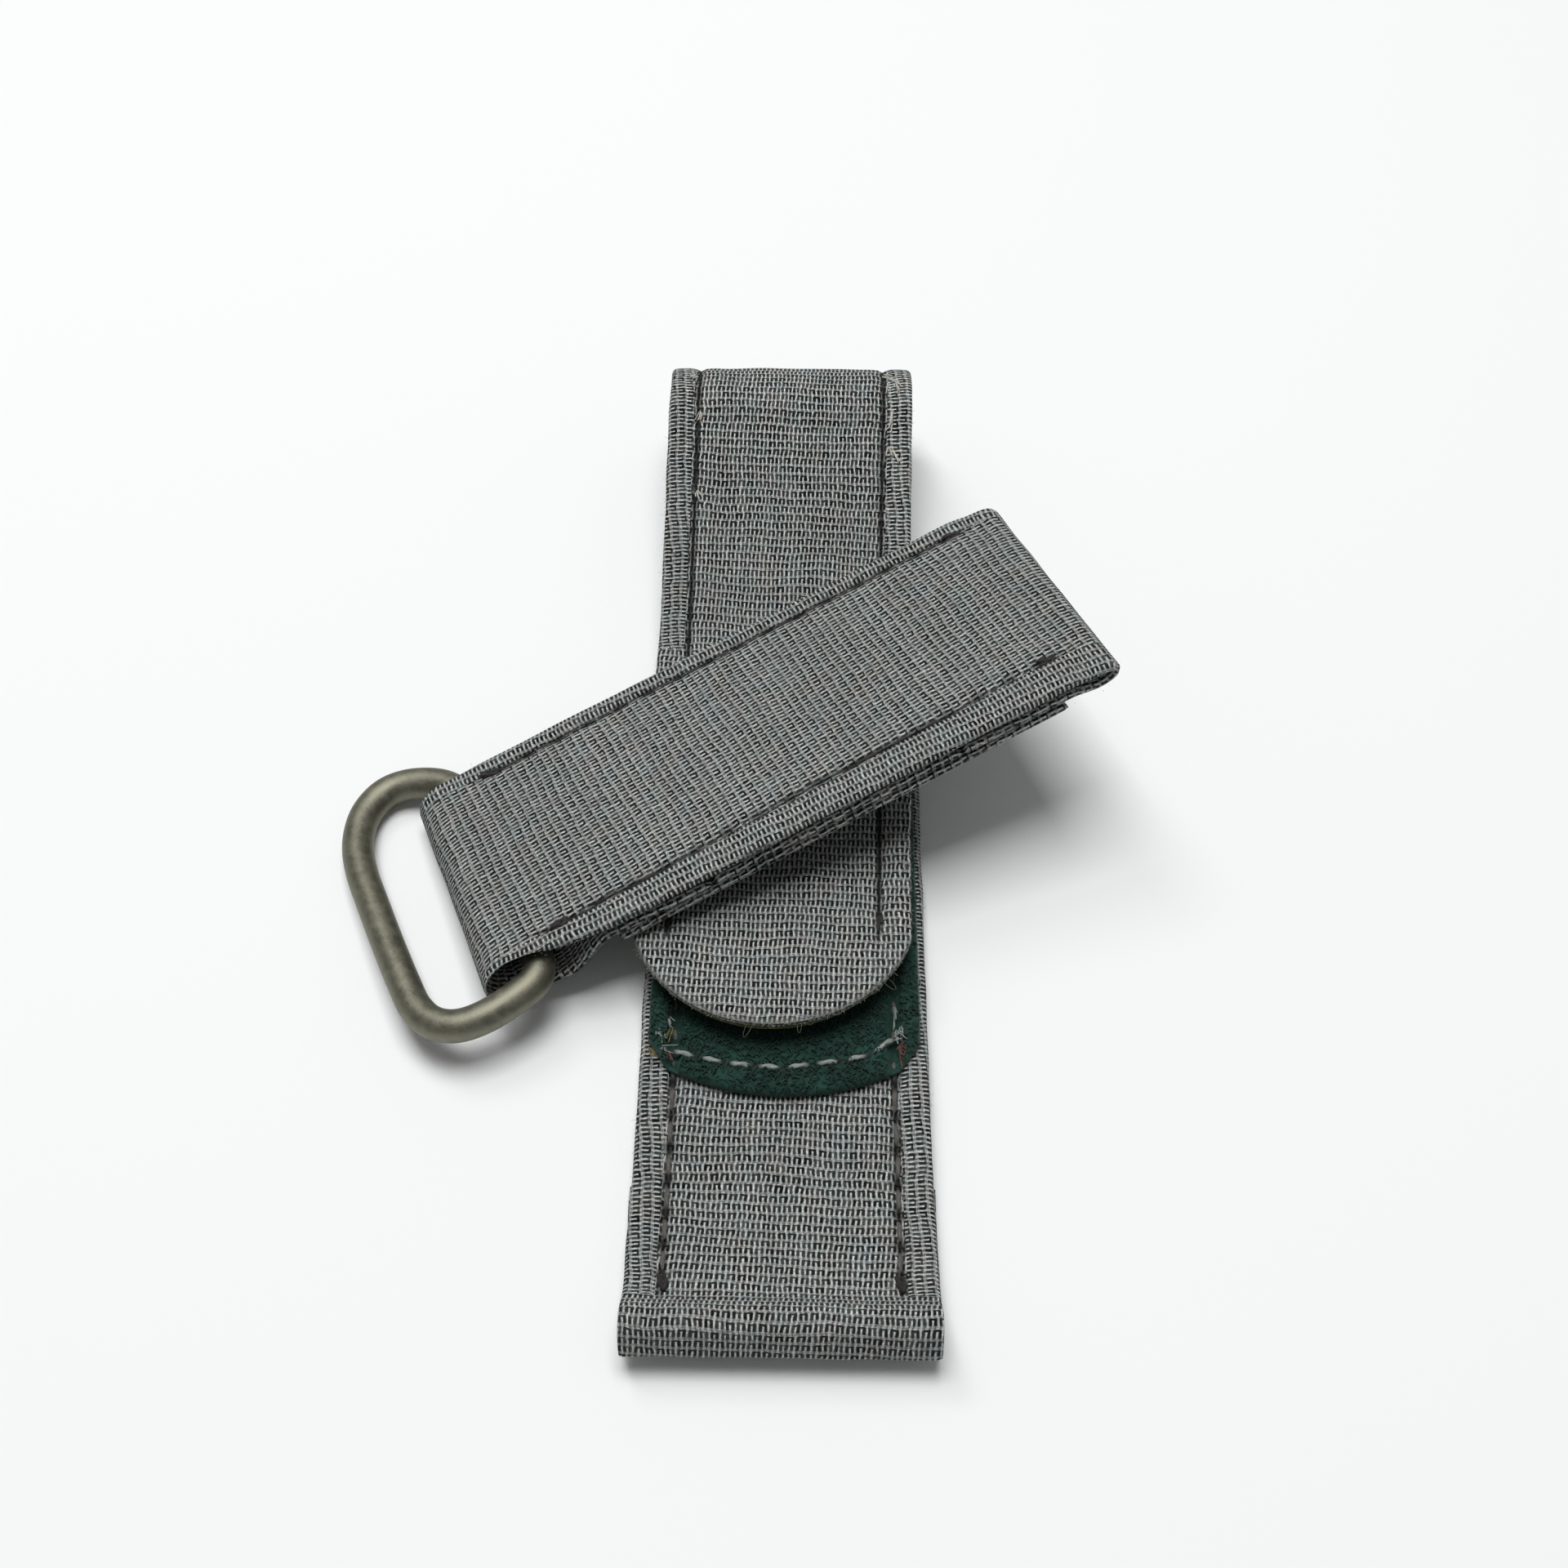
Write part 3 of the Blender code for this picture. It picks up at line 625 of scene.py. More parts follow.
def add(tree, kind, inputs=(), output=0, **settings):
    """Adds a node with its settings, its inputs as values or links, and gives one of its outputs."""
    node = tree.nodes.new("ShaderNode" + kind)
    for key, value in settings.items():
        setattr(node, key, value)
    for key, value in inputs.items() if isinstance(inputs, dict) else enumerate(inputs):
        if isinstance(value, bpy.types.NodeSocket):
            tree.links.new(value, node.inputs[key])
        else:
            node.inputs[key].default_value = value
    return node.outputs[output]


def new_material(name, roughness, specular=0.5, metallic=0.0, sheen=0.0):
    """A material, the helper that adds to its node tree, and its shader with the values that are the same all
    over the surface."""
    material = bpy.data.materials.new(name)
    material.use_nodes = True
    shader = material.node_tree.nodes["Principled BSDF"]
    for field, value in (
        ("Roughness", roughness), ("Specular IOR Level", specular), ("Metallic", metallic),
        ("Sheen Weight", sheen), ("Sheen Roughness", 0.5),
    ):
        shader.inputs[field].default_value = value
    return material, functools.partial(add, material.node_tree), shader


rgba = {"data_type": "RGBA"}
smooth = {"interpolation_type": "SMOOTHSTEP"}


def woven(name, tone, gap_tone, cloth, seed):
    """Plain-woven cotton canvas, piece dyed: each warp crown is a pale fibrous oval, a painted highlight that
    falls to painted shade at its sides, with a dark slit of painted shade at both sides and a thin dark bar
    of painted shadow where it goes under the pick above it in every other cell; slubs, shade from thread to
    thread and a faint cast from dyeing break it up. Where it is marked with seam shade it is dark, painted
    shade, and where it is marked as stretched its gaps are open with deeper painted shade and its crowns
    round with a brighter painted highlight; below zero they are flat."""
    material, node, shader = new_material(name, 0.92, 0.15, sheen=0.05)
    place = node("UVMap", uv_map="cloth_mm")
    place = node("Mapping", {0: place, 1: (seed, 2 * seed, 0), 2: (0, 0, cloth.slant)})
    bent = place
    for scale, reach in ((0.15, (0.5, 0.9, 0)), (1.3, (0.2, 0.24, 0))):
        sway = node("TexNoise", {0: place, 2: scale, 3: 1.0}, 1)
        sway = node("VectorMath", (sway, (0.5, 0.5, 0.5)), operation="SUBTRACT")
        bent = node("VectorMath", (sway, reach, bent), operation="MULTIPLY_ADD")
    pitch = (millimetre / cloth.warp_pitch, millimetre / cloth.weft_pitch, 0)
    cell = node("VectorMath", (bent, pitch, (0, 0.5, 0)), operation="MULTIPLY_ADD")
    row = node("SeparateXYZ", (cell,), 1)
    row = node("Math", (row,), operation="FLOOR")
    shift = node("TexWhiteNoise", {1: row}, 0, noise_dimensions="1D")
    shift = node("Math", (shift, 0.35), operation="MULTIPLY")
    shift = node("CombineXYZ", (shift, -0.5))
    cell = node("VectorMath", (cell, shift), operation="ADD")
    nearest = node("VectorMath", (cell, (0.5, 0.5, 0)), operation="ADD")
    nearest = node("VectorMath", (nearest,), operation="FLOOR")
    slot = node("VectorMath", (cell, (0, 0.5, 0)), operation="ADD")
    slot = node("VectorMath", (slot,), operation="FLOOR")
    off = node("VectorMath", (cell, nearest), operation="SUBTRACT")
    x, y = (node("SeparateXYZ", (off,), axis) for axis in (0, 1))
    column = node("SeparateXYZ", (nearest,), 0)
    aside = node("Math", (x,), operation="ABSOLUTE")
    # The stretched mark opens the slits' painted shade and brightens the crowns' painted highlight; below
    # zero it flattens them
    loose = node("Attribute", output=2, attribute_name="stretched")
    start = node("Math", (loose, -0.06, 0.15), operation="MULTIPLY_ADD")
    stop = node("Math", (loose, -0.05, 0.29), operation="MULTIPLY_ADD")
    # Slit: painted shade in the gap at each side of a warp crown
    slit = node("MapRange", (aside, start, stop, 0.0, 1.0), **smooth)
    span = node("Math", (y,), operation="ABSOLUTE")
    span = node("MapRange", (span, 0.28, 0.38, 1.0, 0.0), **smooth)
    slit = node("Math", (slit, span), operation="MULTIPLY")
    own = node("TexWhiteNoise", {0: slot}, 0, noise_dimensions="2D")
    own = node("MapRange", (own, 0.0, 0.5, 0.8, 1.0))
    slit = node("Math", (slit, own), operation="MULTIPLY")
    turn = node("Math", (row, column), operation="ADD")
    turn = node("Math", (turn, 2.0), operation="FLOORED_MODULO")
    turn = node("Math", (turn, 0.8, 0.2), operation="MULTIPLY_ADD")
    # Bar: painted shadow that the pick casts on the crown below it, strong in every other cell
    bar = node("Math", (y, 0.26), operation="SUBTRACT")
    bar = node("Math", (bar,), operation="ABSOLUTE")
    thin = node("Math", (loose, 0.03, 0.05), operation="MULTIPLY_ADD")
    thick = node("Math", (thin, 0.07), operation="ADD")
    bar = node("MapRange", (bar, thin, thick, 1.0, 0.0), **smooth)
    bar = node("Math", (bar, turn), operation="MULTIPLY")
    own = node("TexWhiteNoise", {0: nearest}, 0, noise_dimensions="2D")
    own = node("MapRange", (own, 0.0, 0.6, 0.6, 1.0))
    bar = node("Math", (bar, own), operation="MULTIPLY")
    # dark holds all of the weave's painted shade, laid on below in the gap tone
    dark = node("Math", (slit, bar), operation="MAXIMUM")
    firm = node("TexNoise", {0: place, 2: 0.5, 3: 1.0})
    firm = node("MapRange", (firm, 0.35, 0.65, 0.9, 1.0))
    dark = node("Math", (dark, firm), operation="MULTIPLY")
    # Crown: a painted highlight in the middle of each warp crown, falling to painted shade at its sides
    long = node("Math", (y, y), operation="MULTIPLY")
    crown = node("Math", (aside, aside), operation="MULTIPLY")
    crown = node("Math", (crown, -3.0, 1.0), operation="MULTIPLY_ADD")
    crown = node("Math", (long, -1.2, crown), operation="MULTIPLY_ADD")
    dull = node("Math", (loose, -0.2, 0.36), operation="MULTIPLY_ADD")
    bright = node("Math", (loose, 0.42, 1.2), operation="MULTIPLY_ADD")
    shade = node("MapRange", (crown, 0.1, 1.0, dull, bright))
    warp = node("TexWhiteNoise", {1: column}, 0, noise_dimensions="1D")
    pick = node("TexWhiteNoise", {1: row}, 0, noise_dimensions="1D")
    thread = node("Math", (warp, pick), operation="ADD")
    thread = node("MapRange", (thread, 0.0, 2.0, 0.84, 1.14))
    slub = node("TexNoise", {0: place, 2: 3.2, 3: 4.0, 4: 0.7})
    slub = node("MapRange", (slub, 0.3, 0.7, 0.4, 1.6))
    # Painted shade in the seam grooves and needle holes
    pressed = node("Attribute", output=2, attribute_name="pressed")
    dim = node("MapRange", (pressed, 0.1, 0.8, 1.0, 0.06))
    for part in (thread, slub, dim):
        shade = node("Math", (shade, part), operation="MULTIPLY")
    cast = node("TexNoise", {0: place, 2: 0.45, 3: 3.0}, 0)
    cast = node("MapRange", (cast, 0.35, 0.65, 0.0, 1.0))
    cool = node("Mix", {0: cast, 6: (0.94, 1.02, 1.03, 1), 7: (1.03, 1.0, 0.98, 1)}, 2, **rgba)
    # The gap tone is painted shade between the threads
    body = node("Mix", {0: dark, 6: (*tone, 1), 7: (*gap_tone, 1)}, 2, **rgba)
    rim = node("Attribute", output=2, attribute_name="rim")
    body = node("Mix", {0: rim, 6: body, 7: (*cloth.rim_tone, 1)}, 2, **rgba)
    body = node("Mix", {0: 1.0, 6: body, 7: cool}, 2, **rgba, blend_type="MULTIPLY")
    body = node("VectorMath", {0: body, 3: shade}, operation="SCALE")
    high = node("Math", (crown, dark), operation="SUBTRACT")
    plain = node("Math", (1.0, rim), operation="SUBTRACT")
    high = node("Math", (high, plain), operation="MULTIPLY")
    fuzz = node("TexNoise", {0: place, 2: 9.0, 3: 3.0})
    high = node("Math", (fuzz, 0.6, high), operation="MULTIPLY_ADD")
    bump = node("Bump", {"Strength": 1.0, "Distance": cloth.relief, "Height": high})
    links = material.node_tree.links
    links.new(body, shader.inputs["Base Color"])
    links.new(bump, shader.inputs["Normal"])
    return material


def spun(name, tone, roughness=0.6):
    """Two-ply spun polyester sewing thread: a soft gloss, with fine fibres that lie along the twist."""
    material, node, shader = new_material(name, roughness, 0.4, sheen=0.1)
    place = node("UVMap", uv_map="cloth_mm")
    stretched = node("Mapping", {0: place, 2: (0, 0, math.radians(35)), 3: (2.0, 14.0, 1)})
    fibre = node("TexNoise", {0: stretched, 2: 1.5, 3: 3.0})
    shade = node("MapRange", (fibre, 0.3, 0.7, 0.6, 1.35))
    # Painted shade on the thread where it dives into its groove and needle holes
    pressed = node("Attribute", output=2, attribute_name="pressed")
    dim = node("MapRange", (pressed, 0.0, 1.0, 1.0, 0.08))
    shade = node("Math", (shade, dim), operation="MULTIPLY")
    body = node("VectorMath", {0: (*tone,), 3: shade}, operation="SCALE")
    bump = node("Bump", {"Strength": 0.7, "Distance": 0.00004, "Height": fibre})
    links = material.node_tree.links
    links.new(body, shader.inputs["Base Color"])
    links.new(bump, shader.inputs["Normal"])
    return material


def brushed_pile(name, tone):
    """Knitted nylon loop pile, brushed: deep shade between loops, a few paler filaments."""
    material, node, shader = new_material(name, 0.85, 0.2, sheen=0.12)
    place = node("TexCoord", output=3)
    grain = node("TexNoise", {0: place, 2: 2600.0, 3: 4.0})
    patch = node("TexNoise", {0: place, 2: 420.0, 3: 2.0})
    shade = node("MapRange", (grain, 0.35, 0.72, 0.6, 1.35))
    tuft = node("MapRange", (patch, 0.3, 0.7, 0.75, 1.25))
    shade = node("Math", (shade, tuft), operation="MULTIPLY")
    body = node("VectorMath", {0: (*tone,), 3: shade}, operation="SCALE")
    bump = node("Bump", {"Strength": 1.0, "Distance": 0.0001, "Height": grain})
    links = material.node_tree.links
    links.new(body, shader.inputs["Base Color"])
    links.new(bump, shader.inputs["Normal"])
    return material


def satin_gunmetal(name, tone, worn_tone):
    """Gunmetal plating over bead-blasted steel wire: satin, finely grained, rubbed a little brighter."""
    material, node, shader = new_material(name, 0.42, metallic=1.0)
    place = node("TexCoord", output=3)
    grain = node("TexNoise", {0: place, 2: 5200.0, 3: 3.0})
    wear = node("TexNoise", {0: place, 2: 900.0, 3: 5.0, 4: 0.7})
    worn = node("MapRange", (wear, 0.35, 0.7, 0.0, 0.9))
    body = node("Mix", {0: worn, 6: (*tone, 1), 7: (*worn_tone, 1)}, 2, **rgba)
    rough = node("MapRange", (wear, 0.3, 0.7, 0.48, 0.62))
    material.node_tree.links.new(rough, shader.inputs["Roughness"])
    height = node("Math", (wear, 2.0, grain), operation="MULTIPLY_ADD")
    bump = node("Bump", {"Strength": 0.6, "Distance": 0.00002, "Height": height})
    links = material.node_tree.links
    links.new(body, shader.inputs["Base Color"])
    links.new(bump, shader.inputs["Normal"])
    return material


# Where pieces go


def put(piece, body, node=None):
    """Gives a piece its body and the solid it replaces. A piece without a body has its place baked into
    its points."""
    if body:
        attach(piece, body)
    else:
        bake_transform(piece)
    if node:
        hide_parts(node)


# The long part's plies


def long_grid(start, stop, step, columns):
    """Shares along a ply, with one more row close to each end that keeps its end wall's edge sharp, and
    shares across it."""
    share = np.linspace(0, 1, max(int(round((stop - start) / step)), 4) + 1)
    close = sharp_row / (stop - start)
    share = np.concatenate([[0, close], share[1:-1], [1 - close, 1]])
    return share[:, None], sides(columns)


def bow(travel, side):
    """The fold stands out most at its middle: a push of 1 − s² that fades away from the fold."""
    turn = (travel - fold_start) / fold_radius
    return fold_bow * (1 - side * side) * np.sin(np.clip(turn, 0, math.pi)) ** 2


long_seam_run = (tunnel_length + 0.9 * tack_length, tip_end - tip_depth - 2 * tack_length)


def long_seam(gap, travel, rise, pitch, width=groove_width, shade=0.55):
    """The relief of the long part's two side seams."""
    first, last = long_seam_run
    inside = between(travel, first - tack_length, last + tack_length, tack_length)
    return sewn(gap, seam_phase(travel, first, last, pitch), inside, rise, width, shade)


def run_ply(
    name, start, stop, level, material, thick, pitch, rises, round_ends, columns=56, span=(-1, 1), tip=False,
    shown=(False, False), flip=1,
):
    """A ply that follows the skin line between two distances, over a span of the strap's width; its tip may
    end in the flap's arc. rises are the margin's heights on its inner and its outer side, and flip says
    which way the weave runs."""
    share, side = long_grid(start, stop, ply_row, columns)
    side = span[0] + (span[1] - span[0]) * (side + 1) / 2
    ends = tip_travel(side) if tip else stop
    travel = start + (ends - start) * share + 0 * side
    left = np.clip(ends - travel, 0, None) + 0 * side if tip else np.full(travel.shape, tip_press_reach)
    press = tip_press(left)
    height = level * press - bow(travel, side)
    half = half_width(travel)
    across = side * half + lean(travel)
    across = across + side**4 * ply_waver * ripple(travel, side, waver_length, 3)
    edge = half * np.minimum(side - side[:, :1], side[:, -1:] - side)
    if tip:
        edge = np.minimum(edge, left)
    gap = np.abs(side) * half - (half - seam_inset)
    inner, pressed = long_seam(gap, travel, rises[0], pitch, skin_groove_width, 0.95)
    outer, _ = long_seam(gap, travel, rises[1], pitch, skin_groove_width)
    risen = ease((travel - fold_start) / (fold_radius / 2))
    outer = np.where(outer > 0, outer * risen, outer)
    uneven = ply_uneven * ripple(across, travel, uneven_length, 7) * risen
    # Over the fold the stretched mark opens the weave's painted gap shade and brightens its painted crown
    # highlight
    marks = {"pressed": pressed, "margin": gap, "stretched": between(travel, fold_start, flap_start, 0.02)}
    if tip:
        marks["rim"] = ease(1.15 - left / rim_width)
        marks["margin"] = np.where(travel > valley_end, -1, gap)
    return cloth_strip(
        name, together(travel, height), across, on_long, thick * press, material, off_zero(edge, thick),
        flip * travel, (inner + uneven) * shown[0], (outer - uneven) * shown[1], round_ends, marks=marks,
    )


def tunnel_path(cloth, centre, tucked, top, bulge, swell, steps):
    """Cloth round a bar tunnel as (distance in, level): in from its tucked end, round the bar, out on top.
    bulge is the tunnel's height as a share of its bore, and swell how much wider than its bore it lies."""
    radius = bar_bore_radius + cloth / 2 + swell
    nose = radius + cloth / 2 - 2 * swell
    lift = radius * bulge
    share = np.linspace(0, 1, steps)
    angle = math.pi * share
    tuck = together(tuck_length + (tunnel_length - tuck_length) * share, tucked)
    drop = centre - lift - tucked
    fall = together(tunnel_length + (nose - tunnel_length) * share, tucked + drop * ease(share))
    nosing = together(nose - radius * np.sin(angle), centre - lift * np.cos(angle))
    low = centre + lift
    climb = together(nose + (tunnel_length - nose) * share, low + (top - centre - lift) * ease(share))
    return np.concatenate([tuck, fall[1:], nosing[1:], climb[1:]])


def run_along(line):
    """Distances along a line of points."""
    return np.concatenate([[0], np.cumsum(np.linalg.norm(np.diff(line, axis=0), axis=1))])


def evened(line, step):
    """A line redrawn with even steps along its own length, and what is left of it at each point."""
    run = run_along(line)
    marks = np.linspace(0, run[-1], int(run[-1] / step) + 1)
    return together(*(np.interp(marks, run, line[:, axis]) for axis in (0, 1))), run[-1] - marks


class STRAP_OT_long_cloth(bpy.types.Operator):
    """Weaves the long part's plies: lower layer, fold and flap"""

    bl_idname = "strap.long_cloth"
    bl_label = "Long Part's Canvas"

    def execute(self, context):
        cloth = context.scene.strap_canvas
        pitch = context.scene.strap_thread.pitch
        canvas = woven("plain_woven_canvas", cloth.tone, cloth.gap_tone, cloth, 0.0)
        inner = woven("undyed_inner_cloth", cloth.lining_tone, cloth.lining_gap_tone, cloth, 3.0)
        put(self.lower_face(canvas, pitch), "lower_strap", "lower_face_canvas")
        lining = run_ply(
            "lower_lining_cloth", tunnel_length + seat_gap, fold_start, lining_level, canvas, soft_ply, pitch,
            (0, 0), (True, False), shown=(False, True), flip=-1,
        )
        put(lining, "lower_strap", "lower_lining_canvas")
        thin = stack_height - 2 * soft_ply
        start, stop = tuck_length + seat_gap, fold_start - filler_stop - seat_gap
        for name, low, high, columns, material, slot, node in (
            ("stiffener_cloth", -turning_share, turning_share, 32, inner, "stiffener", "lower_stiffener"),
            ("turning_left", -0.99, -turning_share, 10, canvas, "canvas", None),
            ("turning_right", turning_share, 0.99, 10, canvas, "canvas", None),
        ):
            between_plies = run_ply(
                f"lower_{name}", start, stop, stack_height / 2, material, thin, pitch, (0, 0), (True, True),
                columns, (low, high),
            )
            put(between_plies, "lower_strap", node)

        for name, level, rises, flip in (
            ("lining", lining_level, (0, margin_rise), -1), ("face", face_level_low, (margin_rise, 0), 1),
        ):
            for part, start, stop, tip, body in (
                ("fold", fold_start, flap_start, False, None), ("flap", flap_start, tip_end, True, "flap"),
            ):
                made = run_ply(
                    f"{part}_{name}_cloth", start, stop, level, canvas, soft_ply, pitch, rises, (False, tip),
                    tip=tip, shown=(name == "face", name == "lining"), flip=flip,
                )
                put(made, body, f"{part}_{name}_canvas")
        return {"FINISHED"}

    def lower_face(self, canvas, pitch):
        """The lower layer's face, from the end tucked in at the bar tunnel to the fold."""
        centre = (face_level_high + stack_height / 2) / 2
        line = tunnel_path(ply, centre, stack_height / 2, face_level_high, lower_bulge, lower_swell, 40)
        run = np.linspace(tunnel_length, fold_start, 400)[1:]
        line, left = evened(np.concatenate([line, together(run, face_level(run))]), face_row)
        line, left = np.insert(line, -1, line[-1], axis=0), np.insert(left, -1, sharp_row)
        line[-2, 0] -= sharp_row
        side = sides(56)
        half = strap_width / 2
        travel = fold_start - left[:, None] + 0 * side
        across = side * (half + lug_flare * ease(1 - travel / (4 * tunnel_length)))
        across = across + side**4 * lower_waver * ripple(left[:, None], side, waver_length, 4)
        gap = np.abs(side) * half - (half - seam_inset)
        relief, pressed = long_seam(gap, travel, margin_rise, pitch)
        thick = soft_ply + (ply - soft_ply) * ease((tunnel_length * 1.5 - travel) / tunnel_length)
        return cloth_strip(
            "lower_face_cloth", line[:, None] + 0 * side[..., None], across, on_long, thick, canvas,
            half * (1 - np.abs(side)) + 0 * travel, travel,
            relief + face_uneven * ripple(across, travel, uneven_length, 9), round_ends=(True, False),
            marks={"pressed": pressed, "margin": np.where(travel < tunnel_length * 0.75, -1, gap)},
        )


# Pile and hook panels


def pile_end(across):
    """Near end of the pile panel: a shallow arc, then a slant at each corner."""
    corner = strap_width / 2 - pile_margin - pile_corner_width
    radius = arc_radius(corner, pile_end_depth)
    arc = pile_near_y + pile_edge_roll + radius - np.sqrt(radius**2 - np.minimum(np.abs(across), corner) ** 2)
    return arc + pile_corner_length * np.clip((np.abs(across) - corner) / pile_corner_width, 0, 1)


def on_table(along, level, across):
    """World points of the pile, which lies flat along Y."""
    return together(across, along, level)


def loop_paths(dice, count, low, high, size):
    """Loops standing on the pile: each is half a turn, p + w·cos t·side + h·sin t·up, with its own lean."""
    half = strap_width / 2 - pile_margin - loop_inset
    across = dice.uniform(-half, half, 3 * count)
    along = dice.uniform(low, high, 3 * count)
    lane = np.abs(np.abs(across) - (strap_width / 2 - seam_inset)) > channel_width / 2
    keep = lane & (along > pile_end(across) + loop_root)
    across, along = across[keep][:count], along[keep][:count]
    count = len(across)
    bearing = dice.uniform(0, math.pi, count)
    width = size * dice.uniform(0.5, 1.2, count)
    height = size * dice.uniform(0.9, 1.9, count)
    lean_x, lean_y = dice.normal(0, 0.35, (2, count))
    turn = np.linspace(-0.2, math.pi + 0.2, 7)
    side = together(np.cos(bearing), np.sin(bearing), 0)
    up = together(lean_x, lean_y, 1)
    base = together(across, along, pile_top - loop_root)
    paths = (
        base[:, None] + width[:, None, None] * np.cos(turn)[None, :, None] * side[:, None]
        + height[:, None, None] * np.sin(turn)[None, :, None] * up[:, None]
    )
    plane = np.cross(side, up)
    return paths, np.broadcast_to(plane[:, None], paths.shape)


class STRAP_OT_panels(bpy.types.Operator):
    """Makes the looped pile panel and the hook panel under the flap's tip"""

    bl_idname = "strap.panels"
    bl_label = "Pile and Hook Panels"

    def execute(self, context):
        pile = context.scene.strap_pile
        nap = brushed_pile("brushed_loop_pile", pile.tone)
        half = strap_width / 2 - pile_margin
        share = crowded(130, 0.6)[:, None]
        across = sides(72, 0.8) * half + 0 * share
        near = pile_end(across)
        along = near + (pile_far_y - near) * share
        lane = np.abs(np.abs(across) - (strap_width / 2 - seam_inset))
        thick = pile_top - pile_under
        edge = np.minimum(half - np.abs(across), np.minimum(along - near, pile_far_y - along))
        relief = pile_uneven * ripple(across, along, pile_uneven_length, 21)
        relief = relief - 0.75 * thick * ease(1.3 - lane / (channel_width / 2))
        base = cloth_strip(
            "pile_cloth", together(along, (pile_top + pile_under) / 2), across, on_table, thick, nap,
            off_zero(edge, thick), along, relief, round_ends=(False, False),
        )
        put(base, "lower_strap", "pile_panel")
        dice = np.random.default_rng(5)
        seen = flap_tip_y + loops_past_tip
        for name, count, low, high, size in (
            ("near", pile.loops, pile_near_y, seen, near_loop),
            ("far", pile.hidden_loops, seen, pile_far_y - loop_inset, far_loop),
        ):
            paths, planes = loop_paths(dice, count, low, high, size)
            loops = tubes(f"pile_loops_{name}", paths, planes, loop_radius, 4, nap)
            put(loops, "lower_strap")
        self.hooks(pile)
        return {"FINISHED"}

    def hooks(self, pile):
        """The hook tape's base and its bent hooks, which hold the flap down on the pile."""
        tape = spun("olive_hook_tape", pile.hook_tone, 0.5)
        share, side = long_grid(hook_start, tip_end, flat_row, 40)
        ends = tip_travel(side)
        travel = hook_start + (ends - hook_start) * share + 0 * side
        half = half_width(travel) - hook_tape_inset
        across = side * half + lean(travel)
        thick = hook_height
        edge = off_zero(np.minimum(half * (1 - np.abs(side)), ends - travel), thick)
        level = (flap_stack + thick / 2) * tip_press(ends - travel)
        base = cloth_strip(
            "hook_tape", together(travel, level), across, on_long, thick, tape, edge, travel,
            tape_uneven * ripple(across, travel, tape_uneven_length, 31), round_ends=(True, False),
        )
        put(base, "flap", "hook_panel")
        rows = np.arange(hook_start + first_hook_row, tip_end - last_hook_row, hook_row)
        columns = np.arange(*hook_columns_mm) * millimetre
        travel, across = (grid.ravel() for grid in np.meshgrid(rows, columns, indexing="ij"))
        keep = travel < tip_travel(across / half_width(travel)) - hook_inset
        travel, across = travel[keep], across[keep]
        turn = np.linspace(0, 1, 8) * math.pi * hook_bend
        level = flap_stack + thick * 0.8 + hook_rise * np.sin(turn)
        way = np.where(np.arange(len(travel)) % 2, 1, -1)[:, None]
        reach = travel[:, None] + way * hook_lead * (1 - np.cos(turn)) / 2
        paths = on_long(reach, level, (across + lean(travel))[:, None])
        hooks = tubes("hooks", paths, np.broadcast_to([1.0, 0, 0], paths.shape), hook_radius, 4, tape)
        put(hooks, "flap")


# Seams


def stitch_run(first, last, whole, pitch, rows):
    """Distances along a seam, its stitch count there and the thread's height over its groove: |sin|
    arches that dive at the holes."""
    travel = np.linspace(first, last, int((last - first) / pitch * rows) + 1)
    phase = seam_phase(travel, *whole, pitch)
    return travel, phase, np.abs(np.sin(math.pi * phase)) * 3.0 - 2.3


def tack_run(start, stop, dice):
    """A tack: back-stitches laid over one another, as a thread that goes to and fro over its length."""
    turn = np.linspace(0, 3.5, 44)
    fro = np.abs((turn % 2) - 1)
    travel = start + (stop - start) * fro
    height = 0.5 + 0.32 * turn + 0.25 * np.sin(turn * 2.6)
    aside = 1.1 * np.sin(turn * 2.1 + dice.uniform(0, 3))
    return travel, height, aside


def sew(name, spot, first, last, thread, materials, tacks=(), seed=1, whole=None, pitch=None):
    """A seam's thread: one two-ply tube over all its stitches, with a tack where the seam starts or ends.
    spot(travel, height, aside) gives points, with height and aside counted in thread radii, whole is the run
    on which the stitches are counted, and materials are the stitches' and the tacks'."""
    dice = np.random.default_rng(seed)
    travel, phase, height = stitch_run(first, last, whole or (first, last), pitch or thread.pitch, 14)
    wander = dice.normal(0, 0.3, int(phase.max()) + 3)
    aside = np.interp(phase, np.arange(len(wander)), wander)
    runs = [(travel, height, aside, travel / thread.radius * 0.75, materials[0])]
    for start, stop in tacks:
        back = tack_run(start, stop, dice)
        runs.append((*back, np.arange(len(back[0])) * 0.5, materials[-1]))
    made = []
    for travel, height, aside, twist, material in runs:
        points = spot(travel, height, aside)
        above = spot(travel, height + 1, aside) - points
        # How deep the thread dives at each hole, laid on as painted shade
        sunk = np.clip((0.3 - height) / 1.1, 0, 1)
        made.append(tubes(name, points[None], above[None], thread.radius, 12, material, twist[None], sunk))
    return joined(name, made)


def joined(name, pieces):
    """Several meshes as one object, each still closed by itself."""
    with bpy.context.temp_override(active_object=pieces[0], selected_editable_objects=pieces):
        if len(pieces) > 1:
            bpy.ops.object.join()
    pieces[0].name = name
    return pieces[0]


